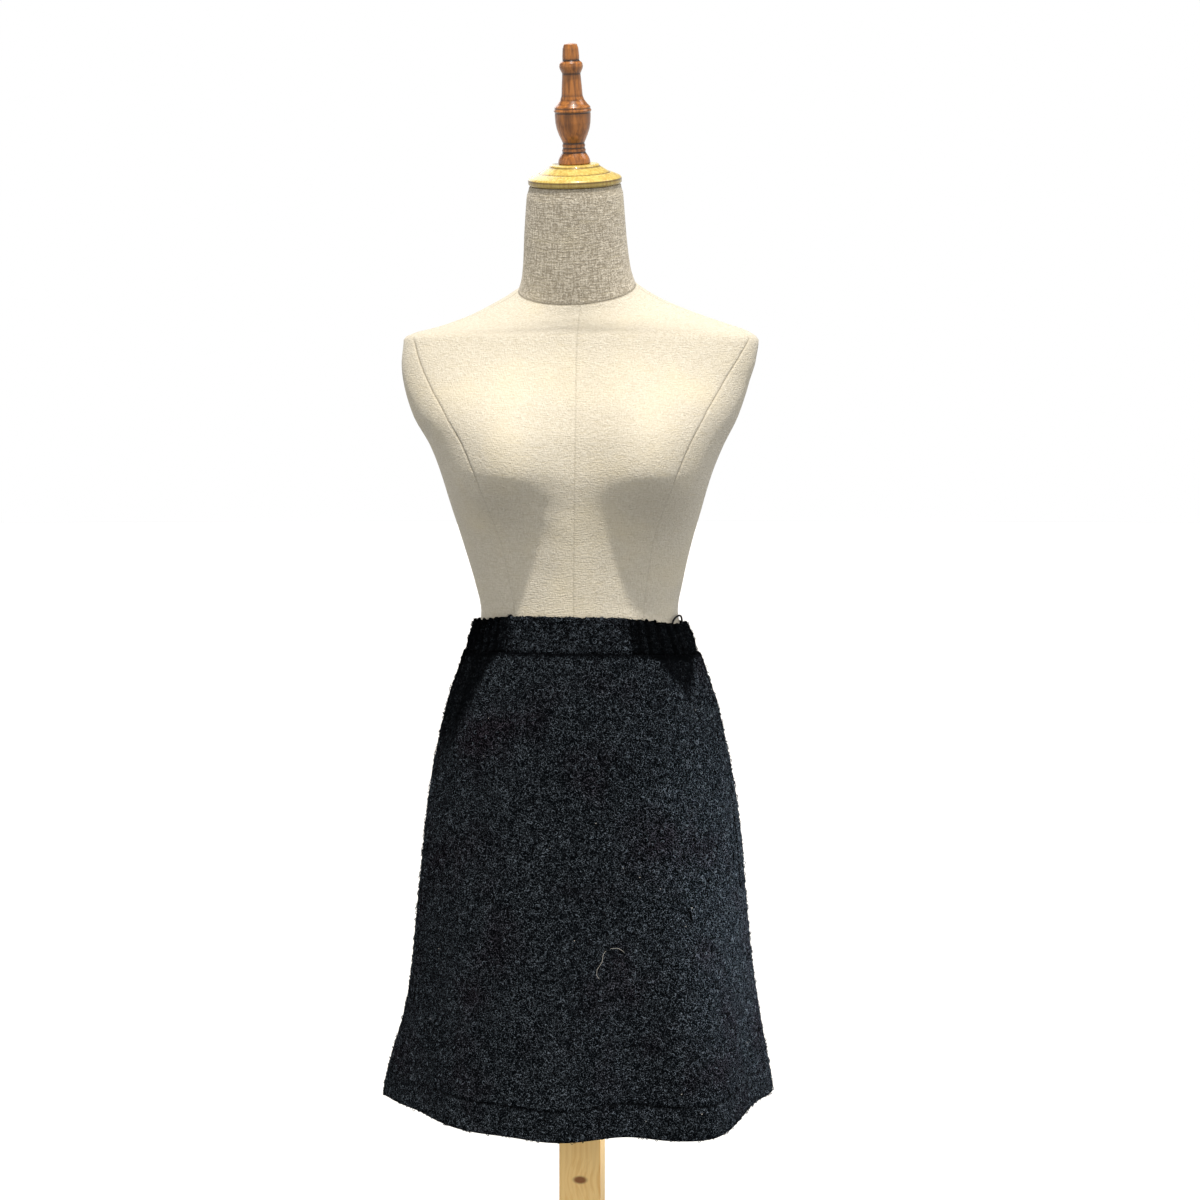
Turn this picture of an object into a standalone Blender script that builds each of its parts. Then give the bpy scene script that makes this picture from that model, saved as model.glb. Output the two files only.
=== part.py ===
"""Knee-length A-line skirt in black boucle wool, worn by a limbless dress form on a post stand.

Metres, +Z up. The origin is on the floor under the post. The form's front faces -Y, and +X is
the wearer's left. Angles start at the front and grow towards +X. The skirt and the post stand
SKIRT_TURN degrees round from the form's front, towards -X: the skirt's own angles, of its
seams, gathers and folds, start at its front centre.
"""

import math

import bmesh
import bpy
import numpy as np

# Heights of the main levels above the floor. The two of the waistband's edges are at the front
# centre and at the sides and back.
BASE_THICKNESS = 0.024
FORM_BOTTOM = 0.800
BAND_BOTTOM = (1.0228, 1.0196)
BAND_TOP = (1.0622, 1.0532)
SKIRT_HEM = 0.5345

# How far round from the form's front the skirt and the post stand, in degrees
SKIRT_TURN = 7.0

# Stand
BASE_RADIUS = 0.190
BASE_EDGE_ROUND = 0.008
POST_WIDTH = 0.045
POST_CHAMFER = 0.0015

# Cloth
SEAM_GAP = 0.0003
CLOTH = 0.0026
HEM_DEPTH = 0.033
HEM_RISE = 0.0025
STITCH_GROOVE = 0.0012
STITCH_HALF_WIDTH = 0.003
SIDE_SEAM_ANGLE = 82.0

# Waistband: a flat front strip, and an elasticated strip round the sides and back. The ease is
# the space between the form and the band, at its bottom and at its top.
FLAT_FRONT_ANGLE = 35.0
BAND_EASE = (0.0010, 0.0038)
BAND_WALL = 0.0060
BAND_EDGE_ROUND = 0.0016
BAND_TILT = 0.012
GATHER_COUNT = 44
GATHER_DEPTH = 0.0036
SKIRT_GATHER_DEPTH = 0.0050
SKIRT_GATHER_LENGTH = 0.085

# Hanging loop of round cord, sewn inside the band's top edge at the wearer's left
LOOP_ANGLES = (70.0, 93.0)
LOOP_RISE = 0.0085
LOOP_TAIL = 0.006
LOOP_CORD = 0.0022

# The neck leans forward, towards this many degrees from the form's front
NECK_TURN = 8.0
CAP_RADIUS = 0.0497

# The form's sections: height and sideways shift of the centre, half the width, reach to the
# front and to the back, squareness of the outline (2 is an ellipse), the centre's y, and the
# section's own tilt, front down, in degrees
FORM_COLUMNS = ("height", "centre_x", "half_width", "front", "back", "squareness", "centre_y",
                "tilt")
FORM_SECTIONS = (
    (0.8000, 0.0000, 0.1440, 0.086, 0.098, 2.2, 0.000, 0.0),
    (0.8500, 0.0000, 0.1510, 0.094, 0.107, 2.2, 0.000, 0.0),
    (0.9000, 0.0000, 0.1490, 0.098, 0.109, 2.2, 0.000, 0.0),
    (0.9500, -0.0005, 0.1390, 0.096, 0.099, 2.1, 0.000, 0.0),
    (0.9900, -0.0010, 0.1250, 0.090, 0.087, 2.0, 0.000, 0.0),
    (1.0200, -0.0008, 0.1152, 0.085, 0.078, 2.0, 0.000, 0.0),
    (1.0450, -0.0016, 0.1088, 0.082, 0.074, 2.0, 0.000, 0.0),
    (1.0650, -0.0025, 0.1065, 0.082, 0.073, 2.0, 0.000, 0.0),
    (1.0970, -0.0035, 0.1125, 0.085, 0.076, 2.0, 0.000, 0.0),
    (1.1300, -0.0045, 0.1208, 0.090, 0.082, 2.1, 0.000, 0.0),
    (1.1700, -0.0055, 0.1327, 0.097, 0.089, 2.2, 0.000, 0.0),
    (1.2110, -0.0058, 0.1450, 0.102, 0.095, 2.3, 0.000, 0.0),
    (1.2430, -0.0055, 0.1575, 0.100, 0.099, 2.5, 0.000, 0.0),
    (1.2750, -0.0065, 0.1745, 0.092, 0.101, 2.8, 0.000, 0.0),
    (1.3080, -0.0060, 0.1850, 0.078, 0.099, 3.0, 0.000, 0.0),
    (1.3360, -0.0032, 0.1902, 0.067, 0.092, 3.0, 0.000, 0.0),
    (1.3560, -0.0008, 0.1905, 0.061, 0.084, 2.8, 0.000, 0.0),
    (1.3650, -0.0012, 0.1780, 0.059, 0.079, 2.6, 0.000, 3.0),
    (1.3740, -0.0030, 0.1480, 0.0585, 0.075, 2.3, 0.000, 8.0),
    (1.3840, -0.0052, 0.1180, 0.058, 0.071, 2.1, 0.000, 13.0),
    (1.3935, -0.0070, 0.0945, 0.0575, 0.067, 2.0, 0.000, 18.0),
    (1.4030, -0.0066, 0.0760, 0.0565, 0.062, 2.0, 0.000, 22.0),
    (1.4125, -0.0052, 0.0635, 0.055, 0.057, 2.0, -0.001, 24.0),
    (1.4320, -0.0058, 0.0580, 0.054, 0.054, 2.0, -0.007, 21.0),
    (1.4750, -0.0070, 0.0540, 0.052, 0.052, 2.0, -0.019, 16.0),
    (1.5185, -0.0070, 0.0503, 0.050, 0.050, 2.0, -0.031, 13.0),
)
FORM_EDGE_ROUND = 0.003

# Bust of the form: one soft mound on each side of its centre line
BUST_HEIGHT = 1.216
BUST_X = 0.076
BUST_REACH = 0.036
BUST_SPREAD_IN = 0.046
BUST_SPREAD_OUT = 0.085
BUST_SPREAD_UP = 0.080
BUST_SPREAD_DOWN = 0.046

# The skirt's outer face without its folds: height, half the width, reach to front and back
SKIRT_COLUMNS = ("height", "half_width", "front", "back", "squareness")
SKIRT_SECTIONS = (
    (0.5345, 0.2065, 0.1690, 0.1600, 1.95),
    (0.5800, 0.1995, 0.1610, 0.1560, 1.95),
    (0.6400, 0.1905, 0.1520, 0.1500, 2.0),
    (0.7000, 0.1835, 0.1430, 0.1440, 2.0),
    (0.7700, 0.1770, 0.1325, 0.1380, 2.0),
    (0.8400, 0.1700, 0.1220, 0.1315, 2.0),
    (0.8800, 0.1645, 0.1160, 0.1275, 2.0),
    (0.9200, 0.1570, 0.1110, 0.1210, 2.05),
    (0.9500, 0.1500, 0.1065, 0.1135, 2.05),
    (0.9750, 0.1420, 0.1020, 0.1050, 2.0),
    (1.0000, 0.1310, 0.0970, 0.0945, 2.0),
    (1.0193, 0.1235, 0.0935, 0.0860, 2.0),
)

# The hem's soft lobes and hollows: angle, half the spread, reach at the hem, how much lower the
# hem hangs there, and the height above which each has faded out
FOLD_COLUMNS = ("angle", "spread", "reach", "drop", "fades_at")
HEM_FOLDS = (
    (1.0, 14.0, 0.0132, 0.0038, 0.84),
    (30.0, 8.0, -0.004, 0.0036, 0.72),
    (44.0, 15.5, 0.020, 0.0101, 0.90),
    (80.5, 16.0, -0.012, 0.0014, 0.84),
    (104.0, 13.0, 0.007, 0.000, 0.78),
    (130.0, 13.0, -0.009, 0.000, 0.80),
    (155.0, 13.0, 0.013, 0.002, 0.88),
    (180.0, 11.0, -0.007, 0.000, 0.80),
    (206.0, 14.0, 0.012, 0.002, 0.86),
    (236.0, 12.0, -0.010, 0.000, 0.82),
    (268.0, 13.0, 0.015, 0.000, 0.68),
    (303.0, 17.0, -0.0138, 0.000, 0.84),
    (335.0, 14.0, 0.0023, 0.0018, 0.80),
)

# Rows of the skirt panels, as shares of the way from the waist seam to the hem
PANEL_ROWS = (0.0, 0.015, 0.045, 0.085, 0.135, 0.20, 0.32, 0.46, 0.60, 0.73, 0.85)

# Turned profiles, radius and height, from the centre of the underside to the centre of the top
CAP_PROFILE = (
    (0.0, 0.0),
    (0.0480, 0.0),
    (CAP_RADIUS, 0.0015),
    (CAP_RADIUS, 0.0060),
    (0.0480, 0.0080),
    (0.0385, 0.0122),
    (0.0378, 0.0116),
    (0.0265, 0.0190),
    (0.0262, 0.0205),
    (0.0242, 0.0212),
    (0.0, 0.0212),
)
FINIAL_PROFILE = (
    (0.0000, 0.0000),
    (0.0168, 0.0000),
    (0.0172, 0.0008),
    (0.0164, 0.0050),
    (0.0152, 0.0075),
    (0.0129, 0.0112),
    (0.0121, 0.0122),
    (0.0127, 0.0143),
    (0.0115, 0.0167),
    (0.0123, 0.0190),
    (0.0113, 0.0214),
    (0.0128, 0.0248),
    (0.0152, 0.0302),
    (0.0174, 0.0365),
    (0.0185, 0.0425),
    (0.0190, 0.0518),
    (0.0186, 0.0532),
    (0.0201, 0.0552),
    (0.0187, 0.0575),
    (0.0191, 0.0588),
    (0.0160, 0.0618),
    (0.0128, 0.0662),
    (0.0112, 0.0705),
    (0.0106, 0.0800),
    (0.0096, 0.0932),
    (0.0121, 0.0985),
    (0.0125, 0.1008),
    (0.0118, 0.1042),
    (0.0088, 0.1066),
    (0.0089, 0.1110),
    (0.0083, 0.1190),
    (0.0068, 0.1234),
    (0.0000, 0.1246),
)


def clear_scene():
    """Removes every object of the file that this script starts in."""
    for thing in list(bpy.data.objects):
        bpy.data.objects.remove(thing, do_unlink=True)


def make_material(name, color, roughness, metallic=0.0):
    """A Principled material of one colour, given as linear red, green and blue."""
    finish = bpy.data.materials.new(name)
    finish.use_nodes = True
    shader = finish.node_tree.nodes["Principled BSDF"]
    shader.inputs["Base Color"].default_value = (*color, 1.0)
    shader.inputs["Roughness"].default_value = roughness
    shader.inputs["Metallic"].default_value = metallic
    return finish


def add_object(name, mesh, finish, crease_degrees=40.0):
    """Links a mesh into the scene under its node name, shaded smooth but for sharp edges."""
    mesh.materials.append(finish)
    mesh.shade_smooth()
    mesh.set_sharp_from_angle(angle=math.radians(crease_degrees))
    thing = bpy.data.objects.new(name, mesh)
    bpy.context.scene.collection.objects.link(thing)
    return thing


def monotone(knots, values, at):
    """Smooth curve through (knots, values) that makes no bump between them.

    Cubic pieces whose slope at each knot is the harmonic mean of the two steps beside it.
    """
    knots, values, at = (np.asarray(part, float) for part in (knots, values, at))
    width = np.diff(knots)
    step = np.diff(values) / width
    slope = np.zeros(len(knots))
    same_way = step[:-1] * step[1:] > 0
    before, after = step[:-1][same_way], step[1:][same_way]
    slope[1:-1][same_way] = 2 * before * after / (before + after)
    slope[0], slope[-1] = step[0], step[-1]
    piece = np.clip(np.searchsorted(knots, at) - 1, 0, len(width) - 1)
    wide = width[piece]
    t = np.clip((at - knots[piece]) / wide, 0.0, 1.0)
    return (
        values[piece] * (1 + 2 * t) * (1 - t) ** 2
        + slope[piece] * wide * t * (1 - t) ** 2
        + values[piece + 1] * t * t * (3 - 2 * t)
        - slope[piece + 1] * wide * t * t * (1 - t)
    )


def read_table(columns, rows, heights):
    """Each column of a table of sections, smoothly interpolated at these heights, by name."""
    grid = np.array(rows)
    return {
        name: monotone(grid[:, 0], grid[:, index], heights)
        for index, name in enumerate(columns)
    }


def outline(angles, section):
    """x and y of a section whose front and back reach differently from its widest line."""
    across, along = np.sin(angles), np.cos(angles)
    depth = np.where(along > 0, section["front"], section["back"])
    power = section["squareness"]
    swell = (np.abs(across) ** power + np.abs(along) ** power) ** (-1 / power)
    return section["half_width"] * across * swell, -depth * along * swell


def outward(curve, angles):
    """Level unit normals, facing out, of curve(angles), which returns x and y."""
    step = math.radians(0.2)
    ahead, behind = curve(angles + step), curve(angles - step)
    run_x, run_y = ahead[0] - behind[0], ahead[1] - behind[1]
    length = np.hypot(run_x, run_y)
    return run_y / length, -run_x / length


def pushed(curve, angles, distance):
    """x and y of curve(angles) moved level along its outward normals by a distance."""
    x, y = curve(angles)
    side_x, side_y = outward(curve, angles)
    return x + distance * side_x, y + distance * side_y


def fade(value, start, end):
    """0 at start and 1 at end, with a smooth rise between them."""
    t = np.clip((value - start) / (end - start), 0.0, 1.0)
    return t * t * (3 - 2 * t)


def turn_apart(angles, centre):
    """Signed distance in degrees round the body from centre to each angle in radians."""
    return (np.degrees(angles) - centre + 180.0) % 360.0 - 180.0


def round_form(angles):
    """Angles round the form of the skirt's own angles."""
    return angles - math.radians(SKIRT_TURN)


def form_surface(heights, angles):
    """Points of the dress form: a row for each height and a column for each angle."""
    section = {name: part[:, None] for name, part in
               read_table(FORM_COLUMNS, FORM_SECTIONS, heights).items()}
    turn = angles[None, :]
    x, y = outline(turn, section)
    lean_x, lean_y = -math.sin(math.radians(NECK_TURN)), -math.cos(math.radians(NECK_TURN))
    tilt = np.radians(section["tilt"])
    forward = x * lean_x + y * lean_y
    x = x - forward * (1 - np.cos(tilt)) * lean_x
    y = y - forward * (1 - np.cos(tilt)) * lean_y
    z = section["height"] - forward * np.sin(tilt)
    rise = z - BUST_HEIGHT
    spread = np.where(rise > 0, BUST_SPREAD_UP, BUST_SPREAD_DOWN)
    aside = np.abs(x) - BUST_X
    aside = aside / np.where(aside > 0, BUST_SPREAD_OUT, BUST_SPREAD_IN)
    mound = np.exp(-aside ** 2 - (rise / spread) ** 2)
    y = y - BUST_REACH * mound * fade(np.cos(turn), 0.0, 0.5)
    return np.stack([x + section["centre_x"], y + section["centre_y"], z], axis=-1)


def gather_wave(angles, count):
    """Height of the gathers, 0 to 1, round the elasticated part of the waist.

    A cosine whose phase drifts a little, so that no two gathers are spaced quite alike.
    """
    turn = np.degrees(angles) % 360.0
    share = (turn - FLAT_FRONT_ANGLE) / (360.0 - 2 * FLAT_FRONT_ANGLE)
    drift = 0.30 * np.sin(2 * math.pi * 3 * share + 1.0) + 0.18 * np.sin(2 * math.pi * 7 * share)
    ridge = 0.5 - 0.5 * np.cos(2 * math.pi * (count * share + drift))
    uneven = 0.80 + 0.20 * np.sin(2 * math.pi * 5 * share + 2.0)
    inside = fade(np.minimum(share, 1 - share), 0.0, 0.03)
    return ridge * uneven * inside


def band_edge(pair, angles):
    """Height of one of the band's edges before its tilt, from its (front, side) heights."""
    share = fade(np.abs(turn_apart(angles, 0.0)), 0.6 * FLAT_FRONT_ANGLE, 75.0)
    return pair[0] + (pair[1] - pair[0]) * share


def fold_lobes(angles):
    """Each hem fold's row with its height, 0 to 1, at these angles."""
    for row in HEM_FOLDS:
        fold = dict(zip(FOLD_COLUMNS, row))
        yield fold, np.exp(-((turn_apart(angles, fold["angle"]) / fold["spread"]) ** 2))


def hem_height(angles):
    """Height of the hem's edge: a little higher at the wearer's left and lower in the lobes."""
    rise = HEM_RISE * np.sin(angles)
    return SKIRT_HEM + rise - sum(fold["drop"] * lobe for fold, lobe in fold_lobes(angles))


def skirt_height(shares, angles):
    """Height on the skirt before the band's tilt, by share of the way down."""
    top = band_edge(BAND_BOTTOM, angles) - SEAM_GAP
    return top + (hem_height(angles) - top) * shares


def skirt_curve(shares):
    """The skirt's outer face at these shares of the way down, as a curve of its angles."""
    def bare(angles):
        section = read_table(SKIRT_COLUMNS, SKIRT_SECTIONS, skirt_height(shares, angles))
        return outline(round_form(angles), section)

    def folded(angles):
        height = skirt_height(shares, angles)
        below_seam = skirt_height(0.0, angles) - height
        near_band = 1 - fade(below_seam, 0.004, SKIRT_GATHER_LENGTH)
        push = SKIRT_GATHER_DEPTH * gather_wave(angles, GATHER_COUNT / 2) * near_band
        for fold, lobe in fold_lobes(angles):
            push = push + fold["reach"] * lobe * fade(height, fold["fades_at"], SKIRT_HEM) ** 1.3
        above_hem = height - hem_height(angles)
        groove = np.clip(1 - np.abs(above_hem - HEM_DEPTH) / STITCH_HALF_WIDTH, 0.0, 1.0)
        return pushed(bare, angles, push - STITCH_GROOVE * groove)

    return folded


def skirt_surface(shares, angles, inward):
    """Points of the skirt's wall, a row for each share, at a depth inward of its outer face."""
    down, turn = shares[:, None], angles[None, :]
    x, y = pushed(skirt_curve(down), turn, -inward)
    height = skirt_height(down, turn)
    below_seam = skirt_height(0.0, turn) - height
    z = height - BAND_TILT * x * (1 - fade(below_seam, 0.0, 0.12))
    return np.stack([x, y, z], axis=-1)


def band_surface(level, angles, push):
    """Points of the band: level 0 (bottom) to 1 (top), push out from its inner face."""
    bottom, top = band_edge(BAND_BOTTOM, angles), band_edge(BAND_TOP, angles)
    height = bottom + (top - bottom) * level

    def inside(turn):
        section = read_table(FORM_COLUMNS, FORM_SECTIONS, height - BAND_TILT * 0.11 * np.sin(turn))
        ease = BAND_EASE[0] + (BAND_EASE[1] - BAND_EASE[0]) * level
        x, y = pushed(lambda bend: outline(round_form(bend), section), turn, ease)
        return x + section["centre_x"], y

    x, y = pushed(inside, angles, push)
    return np.stack([x, y, height - BAND_TILT * x], axis=-1)


def sheet_mesh(name, outer, inner):
    """Closed mesh of a strip of cloth from its outer and inner face, with its four cut edges.

    Both faces are grids with the same columns. Where they have as many rows too, each step of a
    side edge is its own small face; where the inner one has fewer, a side edge is one face.
    """
    columns = outer.shape[1]
    points = np.concatenate([outer.reshape(-1, 3), inner.reshape(-1, 3)])
    front = np.arange(outer.shape[0] * columns).reshape(-1, columns)
    back = outer.shape[0] * columns + np.arange(inner.shape[0] * columns).reshape(-1, columns)
    faces = []
    for column in range(columns - 1):
        for row in range(len(front) - 1):
            faces.append((front[row, column], front[row + 1, column],
                          front[row + 1, column + 1], front[row, column + 1]))
        for row in range(len(back) - 1):
            faces.append((back[row, column], back[row, column + 1],
                          back[row + 1, column + 1], back[row + 1, column]))
        faces.append((front[0, column], front[0, column + 1],
                      back[0, column + 1], back[0, column]))
        faces.append((front[-1, column], back[-1, column],
                      back[-1, column + 1], front[-1, column + 1]))
    if len(front) == len(back):
        for row in range(len(front) - 1):
            faces.append((front[row + 1, 0], front[row, 0], back[row, 0], back[row + 1, 0]))
            faces.append((front[row, -1], front[row + 1, -1], back[row + 1, -1], back[row, -1]))
    else:
        faces.append((*front[::-1, 0], *back[:, 0]))
        faces.append((*front[:, -1], *back[::-1, -1]))
    mesh = bpy.data.meshes.new(name)
    mesh.from_pydata(points.tolist(), [], [tuple(map(int, face)) for face in faces])
    return mesh


def spread_angles(start, end, count, radius):
    """Evenly spaced angles from start to end in degrees, half a seam gap short at both ends."""
    trim = SEAM_GAP / 2 / radius
    return np.linspace(math.radians(start) + trim, math.radians(end) - trim, count)


def make_form(finish):
    """The torso and neck in one closed body, with softly rounded edges at its two flat ends."""
    table = np.array(FORM_SECTIONS)[:, 0]
    middles = (table[1:12] + table[:11]) / 2
    heights = np.unique(np.concatenate([table, middles[[1, 2, 9, 10]]]))[::-1]
    angles = np.linspace(0.0, 2 * math.pi, 40, endpoint=False)
    rings = list(form_surface(heights, angles))
    for end, upward in ((0, 1), (-1, -1)):
        centre = rings[end].mean(axis=0)
        normal = np.cross(rings[end][10] - centre, rings[end][20] - centre)
        normal *= FORM_EDGE_ROUND / np.linalg.norm(normal)
        edge = centre + (rings[end] - centre) * (1 - FORM_EDGE_ROUND / 0.08)
        rings[end] = rings[end] - upward * normal * 0.6
        rings.insert(0 if upward > 0 else len(rings), edge)
    count = len(angles)
    points = [point for ring in rings for point in ring]
    faces = []
    for row in range(len(rings) - 1):
        for column in range(count):
            beside = (column + 1) % count
            faces.append((row * count + column, (row + 1) * count + column,
                          (row + 1) * count + beside, row * count + beside))
    faces.append(tuple(range(count)))
    faces.append(tuple(range(len(points) - 1, len(points) - 1 - count, -1)))
    mesh = bpy.data.meshes.new("dress_form")
    mesh.from_pydata([tuple(point) for point in points], [], faces)
    return add_object("dress_form", mesh, finish)


def make_panel(name, angles, finish):
    """A skirt panel from the waist seam to the hem, double below the line of hem stitches."""
    length = BAND_BOTTOM[1] - SEAM_GAP - SKIRT_HEM
    stitch = 1 - HEM_DEPTH / length
    groove = STITCH_HALF_WIDTH / length
    shares = np.array([*PANEL_ROWS, stitch - groove, stitch, stitch + groove, 1.0])
    layers = np.where(shares > stitch + groove / 2, 2 * CLOTH, CLOTH)[:, None]
    outer = skirt_surface(shares, angles, 0.0)
    inner = skirt_surface(shares, angles, layers)
    return add_object(name, sheet_mesh(name, outer, inner), finish)


def make_band(name, angles, finish):
    """A strip of waistband: two layers of cloth over elastic, with gathers where it is drawn in."""
    wave = gather_wave(angles, GATHER_COUNT)
    rows = ((1.0, 1.0), (0.96, 0.72), (0.80, 0.15), (0.45, 0.0), (0.10, 0.15), (0.0, 1.0))
    outer = np.array([
        band_surface(level, angles, BAND_WALL - BAND_EDGE_ROUND * rounding
                     + GATHER_DEPTH * wave * (1 - 0.5 * rounding))
        for level, rounding in rows
    ])
    inner = np.array([band_surface(level, angles, 0.0) for level in (1.0, 0.0)])
    outer[0, :, 2] += 0.0012 * wave
    return add_object(name, sheet_mesh(name, outer, inner), finish)


def make_loop(finish):
    """The hanging loop: a bent length of round cord that stands above the band's edge."""
    first, last = np.radians(LOOP_ANGLES)
    share = np.linspace(0.0, 1.0, 22)
    angles = first + (last - first) * (0.5 - 0.5 * np.cos(math.pi * share))
    points = band_surface(1.0, angles, -(LOOP_CORD / 2 + SEAM_GAP))
    points[:, 2] += (LOOP_TAIL + LOOP_RISE) * np.sin(math.pi * share) ** 0.7 - LOOP_TAIL
    line = bpy.data.curves.new("hanger_loop", "CURVE")
    line.dimensions = "3D"
    line.bevel_depth = LOOP_CORD / 2
    line.bevel_resolution = 1
    line.use_fill_caps = True
    spline = line.splines.new("POLY")
    spline.points.add(len(points) - 1)
    for target, point in zip(spline.points, points):
        target.co = (*point, 1.0)
    line.materials.append(finish)
    thing = bpy.data.objects.new("hanger_loop", line)
    bpy.context.scene.collection.objects.link(thing)
    return thing


def make_turned(name, profile, segments, finish):
    """A piece turned on a lathe: its profile spun round the Z axis by bmesh."""
    shape = bmesh.new()
    corners = [shape.verts.new((radius, 0.0, height)) for radius, height in profile]
    edges = [shape.edges.new(pair) for pair in zip(corners, corners[1:])]
    bmesh.ops.spin(shape, geom=corners + edges, cent=(0, 0, 0), axis=(0, 0, 1),
                   angle=2 * math.pi, steps=segments, use_duplicate=False)
    bmesh.ops.remove_doubles(shape, verts=shape.verts, dist=1e-6)
    bmesh.ops.recalc_face_normals(shape, faces=shape.faces)
    mesh = bpy.data.meshes.new(name)
    shape.to_mesh(mesh)
    shape.free()
    return add_object(name, mesh, finish, crease_degrees=50.0)


def make_post(finish):
    """The square post between the base and the form's underside."""
    bottom, top = BASE_THICKNESS + SEAM_GAP, FORM_BOTTOM - SEAM_GAP
    shape = bmesh.new()
    bmesh.ops.create_cube(shape, size=1.0)
    bmesh.ops.scale(shape, vec=(POST_WIDTH, POST_WIDTH, top - bottom), verts=shape.verts)
    upright = [edge for edge in shape.edges
               if abs(edge.verts[0].co.z - edge.verts[1].co.z) > POST_WIDTH]
    bmesh.ops.bevel(shape, geom=upright, offset=POST_CHAMFER, segments=2, affect="EDGES")
    mesh = bpy.data.meshes.new("post")
    shape.to_mesh(mesh)
    shape.free()
    thing = add_object("post", mesh, finish)
    thing.location.z = (bottom + top) / 2
    thing.rotation_euler.z = -math.radians(SKIRT_TURN)
    return thing


def base_profile():
    """The base's turned section: flat below, with a quarter round at its upper edge."""
    inner = BASE_RADIUS - BASE_EDGE_ROUND
    bend = [math.radians(angle) for angle in (0, 22.5, 45, 67.5, 90)]
    rim = [(inner + BASE_EDGE_ROUND * math.cos(a),
            BASE_THICKNESS - BASE_EDGE_ROUND * (1 - math.sin(a))) for a in bend]
    return [(0.0, 0.0), (BASE_RADIUS - 0.002, 0.0), (BASE_RADIUS, 0.002), *rim,
            (0.0, BASE_THICKNESS)]


def place_on_neck(thing, lift):
    """Stands a turned piece on the neck's sloping top, lift above it along the slope's normal."""
    neck = dict(zip(FORM_COLUMNS, FORM_SECTIONS[-1]))
    tilt, turn = math.radians(neck["tilt"]), math.radians(NECK_TURN)
    forward = lift * math.sin(tilt)
    thing.rotation_euler = (tilt, 0.0, -turn)
    thing.location = (neck["centre_x"] - forward * math.sin(turn),
                      neck["centre_y"] - forward * math.cos(turn),
                      neck["height"] + lift * math.cos(tilt))


def main():
    clear_scene()
    boucle = make_material("black_boucle_wool", (0.012, 0.013, 0.016), 0.95)
    linen = make_material("natural_linen", (0.62, 0.56, 0.44), 0.9)
    varnished = make_material("varnished_beech", (0.48, 0.24, 0.07), 0.25)
    pine = make_material("planed_pine", (0.66, 0.46, 0.20), 0.6)
    cord = make_material("black_cord", (0.01, 0.01, 0.012), 0.7)

    front_angles = spread_angles(-SIDE_SEAM_ANGLE, SIDE_SEAM_ANGLE, 43, 0.085)
    back_angles = spread_angles(SIDE_SEAM_ANGLE, 360 - SIDE_SEAM_ANGLE, 77, 0.085)
    make_panel("skirt_front", front_angles, boucle)
    make_panel("skirt_back", back_angles, boucle)

    flat_angles = spread_angles(-FLAT_FRONT_ANGLE, FLAT_FRONT_ANGLE, 15, 0.1)
    drawn_angles = spread_angles(FLAT_FRONT_ANGLE, 360 - FLAT_FRONT_ANGLE,
                                 5 * GATHER_COUNT + 1, 0.1)
    make_band("waistband_front", flat_angles, boucle)
    make_band("waistband_back", drawn_angles, boucle)
    make_loop(cord)

    make_form(linen)
    place_on_neck(make_turned("neck_cap", CAP_PROFILE, 24, varnished), SEAM_GAP)
    place_on_neck(make_turned("finial", FINIAL_PROFILE, 18, varnished),
                  CAP_PROFILE[-1][1] + 2 * SEAM_GAP)

    make_turned("stand_base", base_profile(), 40, pine)
    make_post(pine)


main()
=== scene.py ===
# %% [markdown]
# # An A-line skirt on a dress form
#
# The real object is a knee-length skirt in black boucle wool, worn by a limbless linen dress form
# with a turned wooden cap and finial, on a square pine post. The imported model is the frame: every
# piece below is worked out in its coordinates, in metres, with the form's front towards -Y. All
# but the small yarn pieces take the place of a plain solid, which MuJoCo keeps. The post alone
# shows its solid.

# %% Load the frame
import math
from functools import partial

import bpy
import numpy as np
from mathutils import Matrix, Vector


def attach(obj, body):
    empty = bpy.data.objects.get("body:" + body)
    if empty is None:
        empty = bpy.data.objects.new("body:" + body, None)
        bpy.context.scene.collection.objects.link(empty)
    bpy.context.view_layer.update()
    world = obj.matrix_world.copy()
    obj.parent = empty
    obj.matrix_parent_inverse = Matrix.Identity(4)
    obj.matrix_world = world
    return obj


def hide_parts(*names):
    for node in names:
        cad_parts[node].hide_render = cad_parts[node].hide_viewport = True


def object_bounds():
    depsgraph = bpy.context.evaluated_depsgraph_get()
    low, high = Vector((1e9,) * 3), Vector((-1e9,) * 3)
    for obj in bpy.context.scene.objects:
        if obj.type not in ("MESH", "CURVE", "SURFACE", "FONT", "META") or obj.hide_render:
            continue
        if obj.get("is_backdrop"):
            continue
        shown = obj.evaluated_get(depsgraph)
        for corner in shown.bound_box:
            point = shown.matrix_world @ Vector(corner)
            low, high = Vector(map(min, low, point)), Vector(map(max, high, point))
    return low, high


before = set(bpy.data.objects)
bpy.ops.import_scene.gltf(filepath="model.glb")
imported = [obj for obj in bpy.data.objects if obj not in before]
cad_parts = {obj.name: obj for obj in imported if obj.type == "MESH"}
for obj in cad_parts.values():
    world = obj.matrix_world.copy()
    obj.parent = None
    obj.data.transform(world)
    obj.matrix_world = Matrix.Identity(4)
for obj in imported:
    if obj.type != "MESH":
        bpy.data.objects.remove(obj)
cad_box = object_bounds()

print("solids:", ", ".join(sorted(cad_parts)))

# %% [markdown]
# ## Measures
#
# A dressmaker starts from measures, and so does this file. The form and the skirt are each a stack
# of level sections. A section is given by half its width, by how far it reaches to the front and
# to the back, and by its squareness, where 2 is an ellipse. The same values shape the solids.

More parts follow.
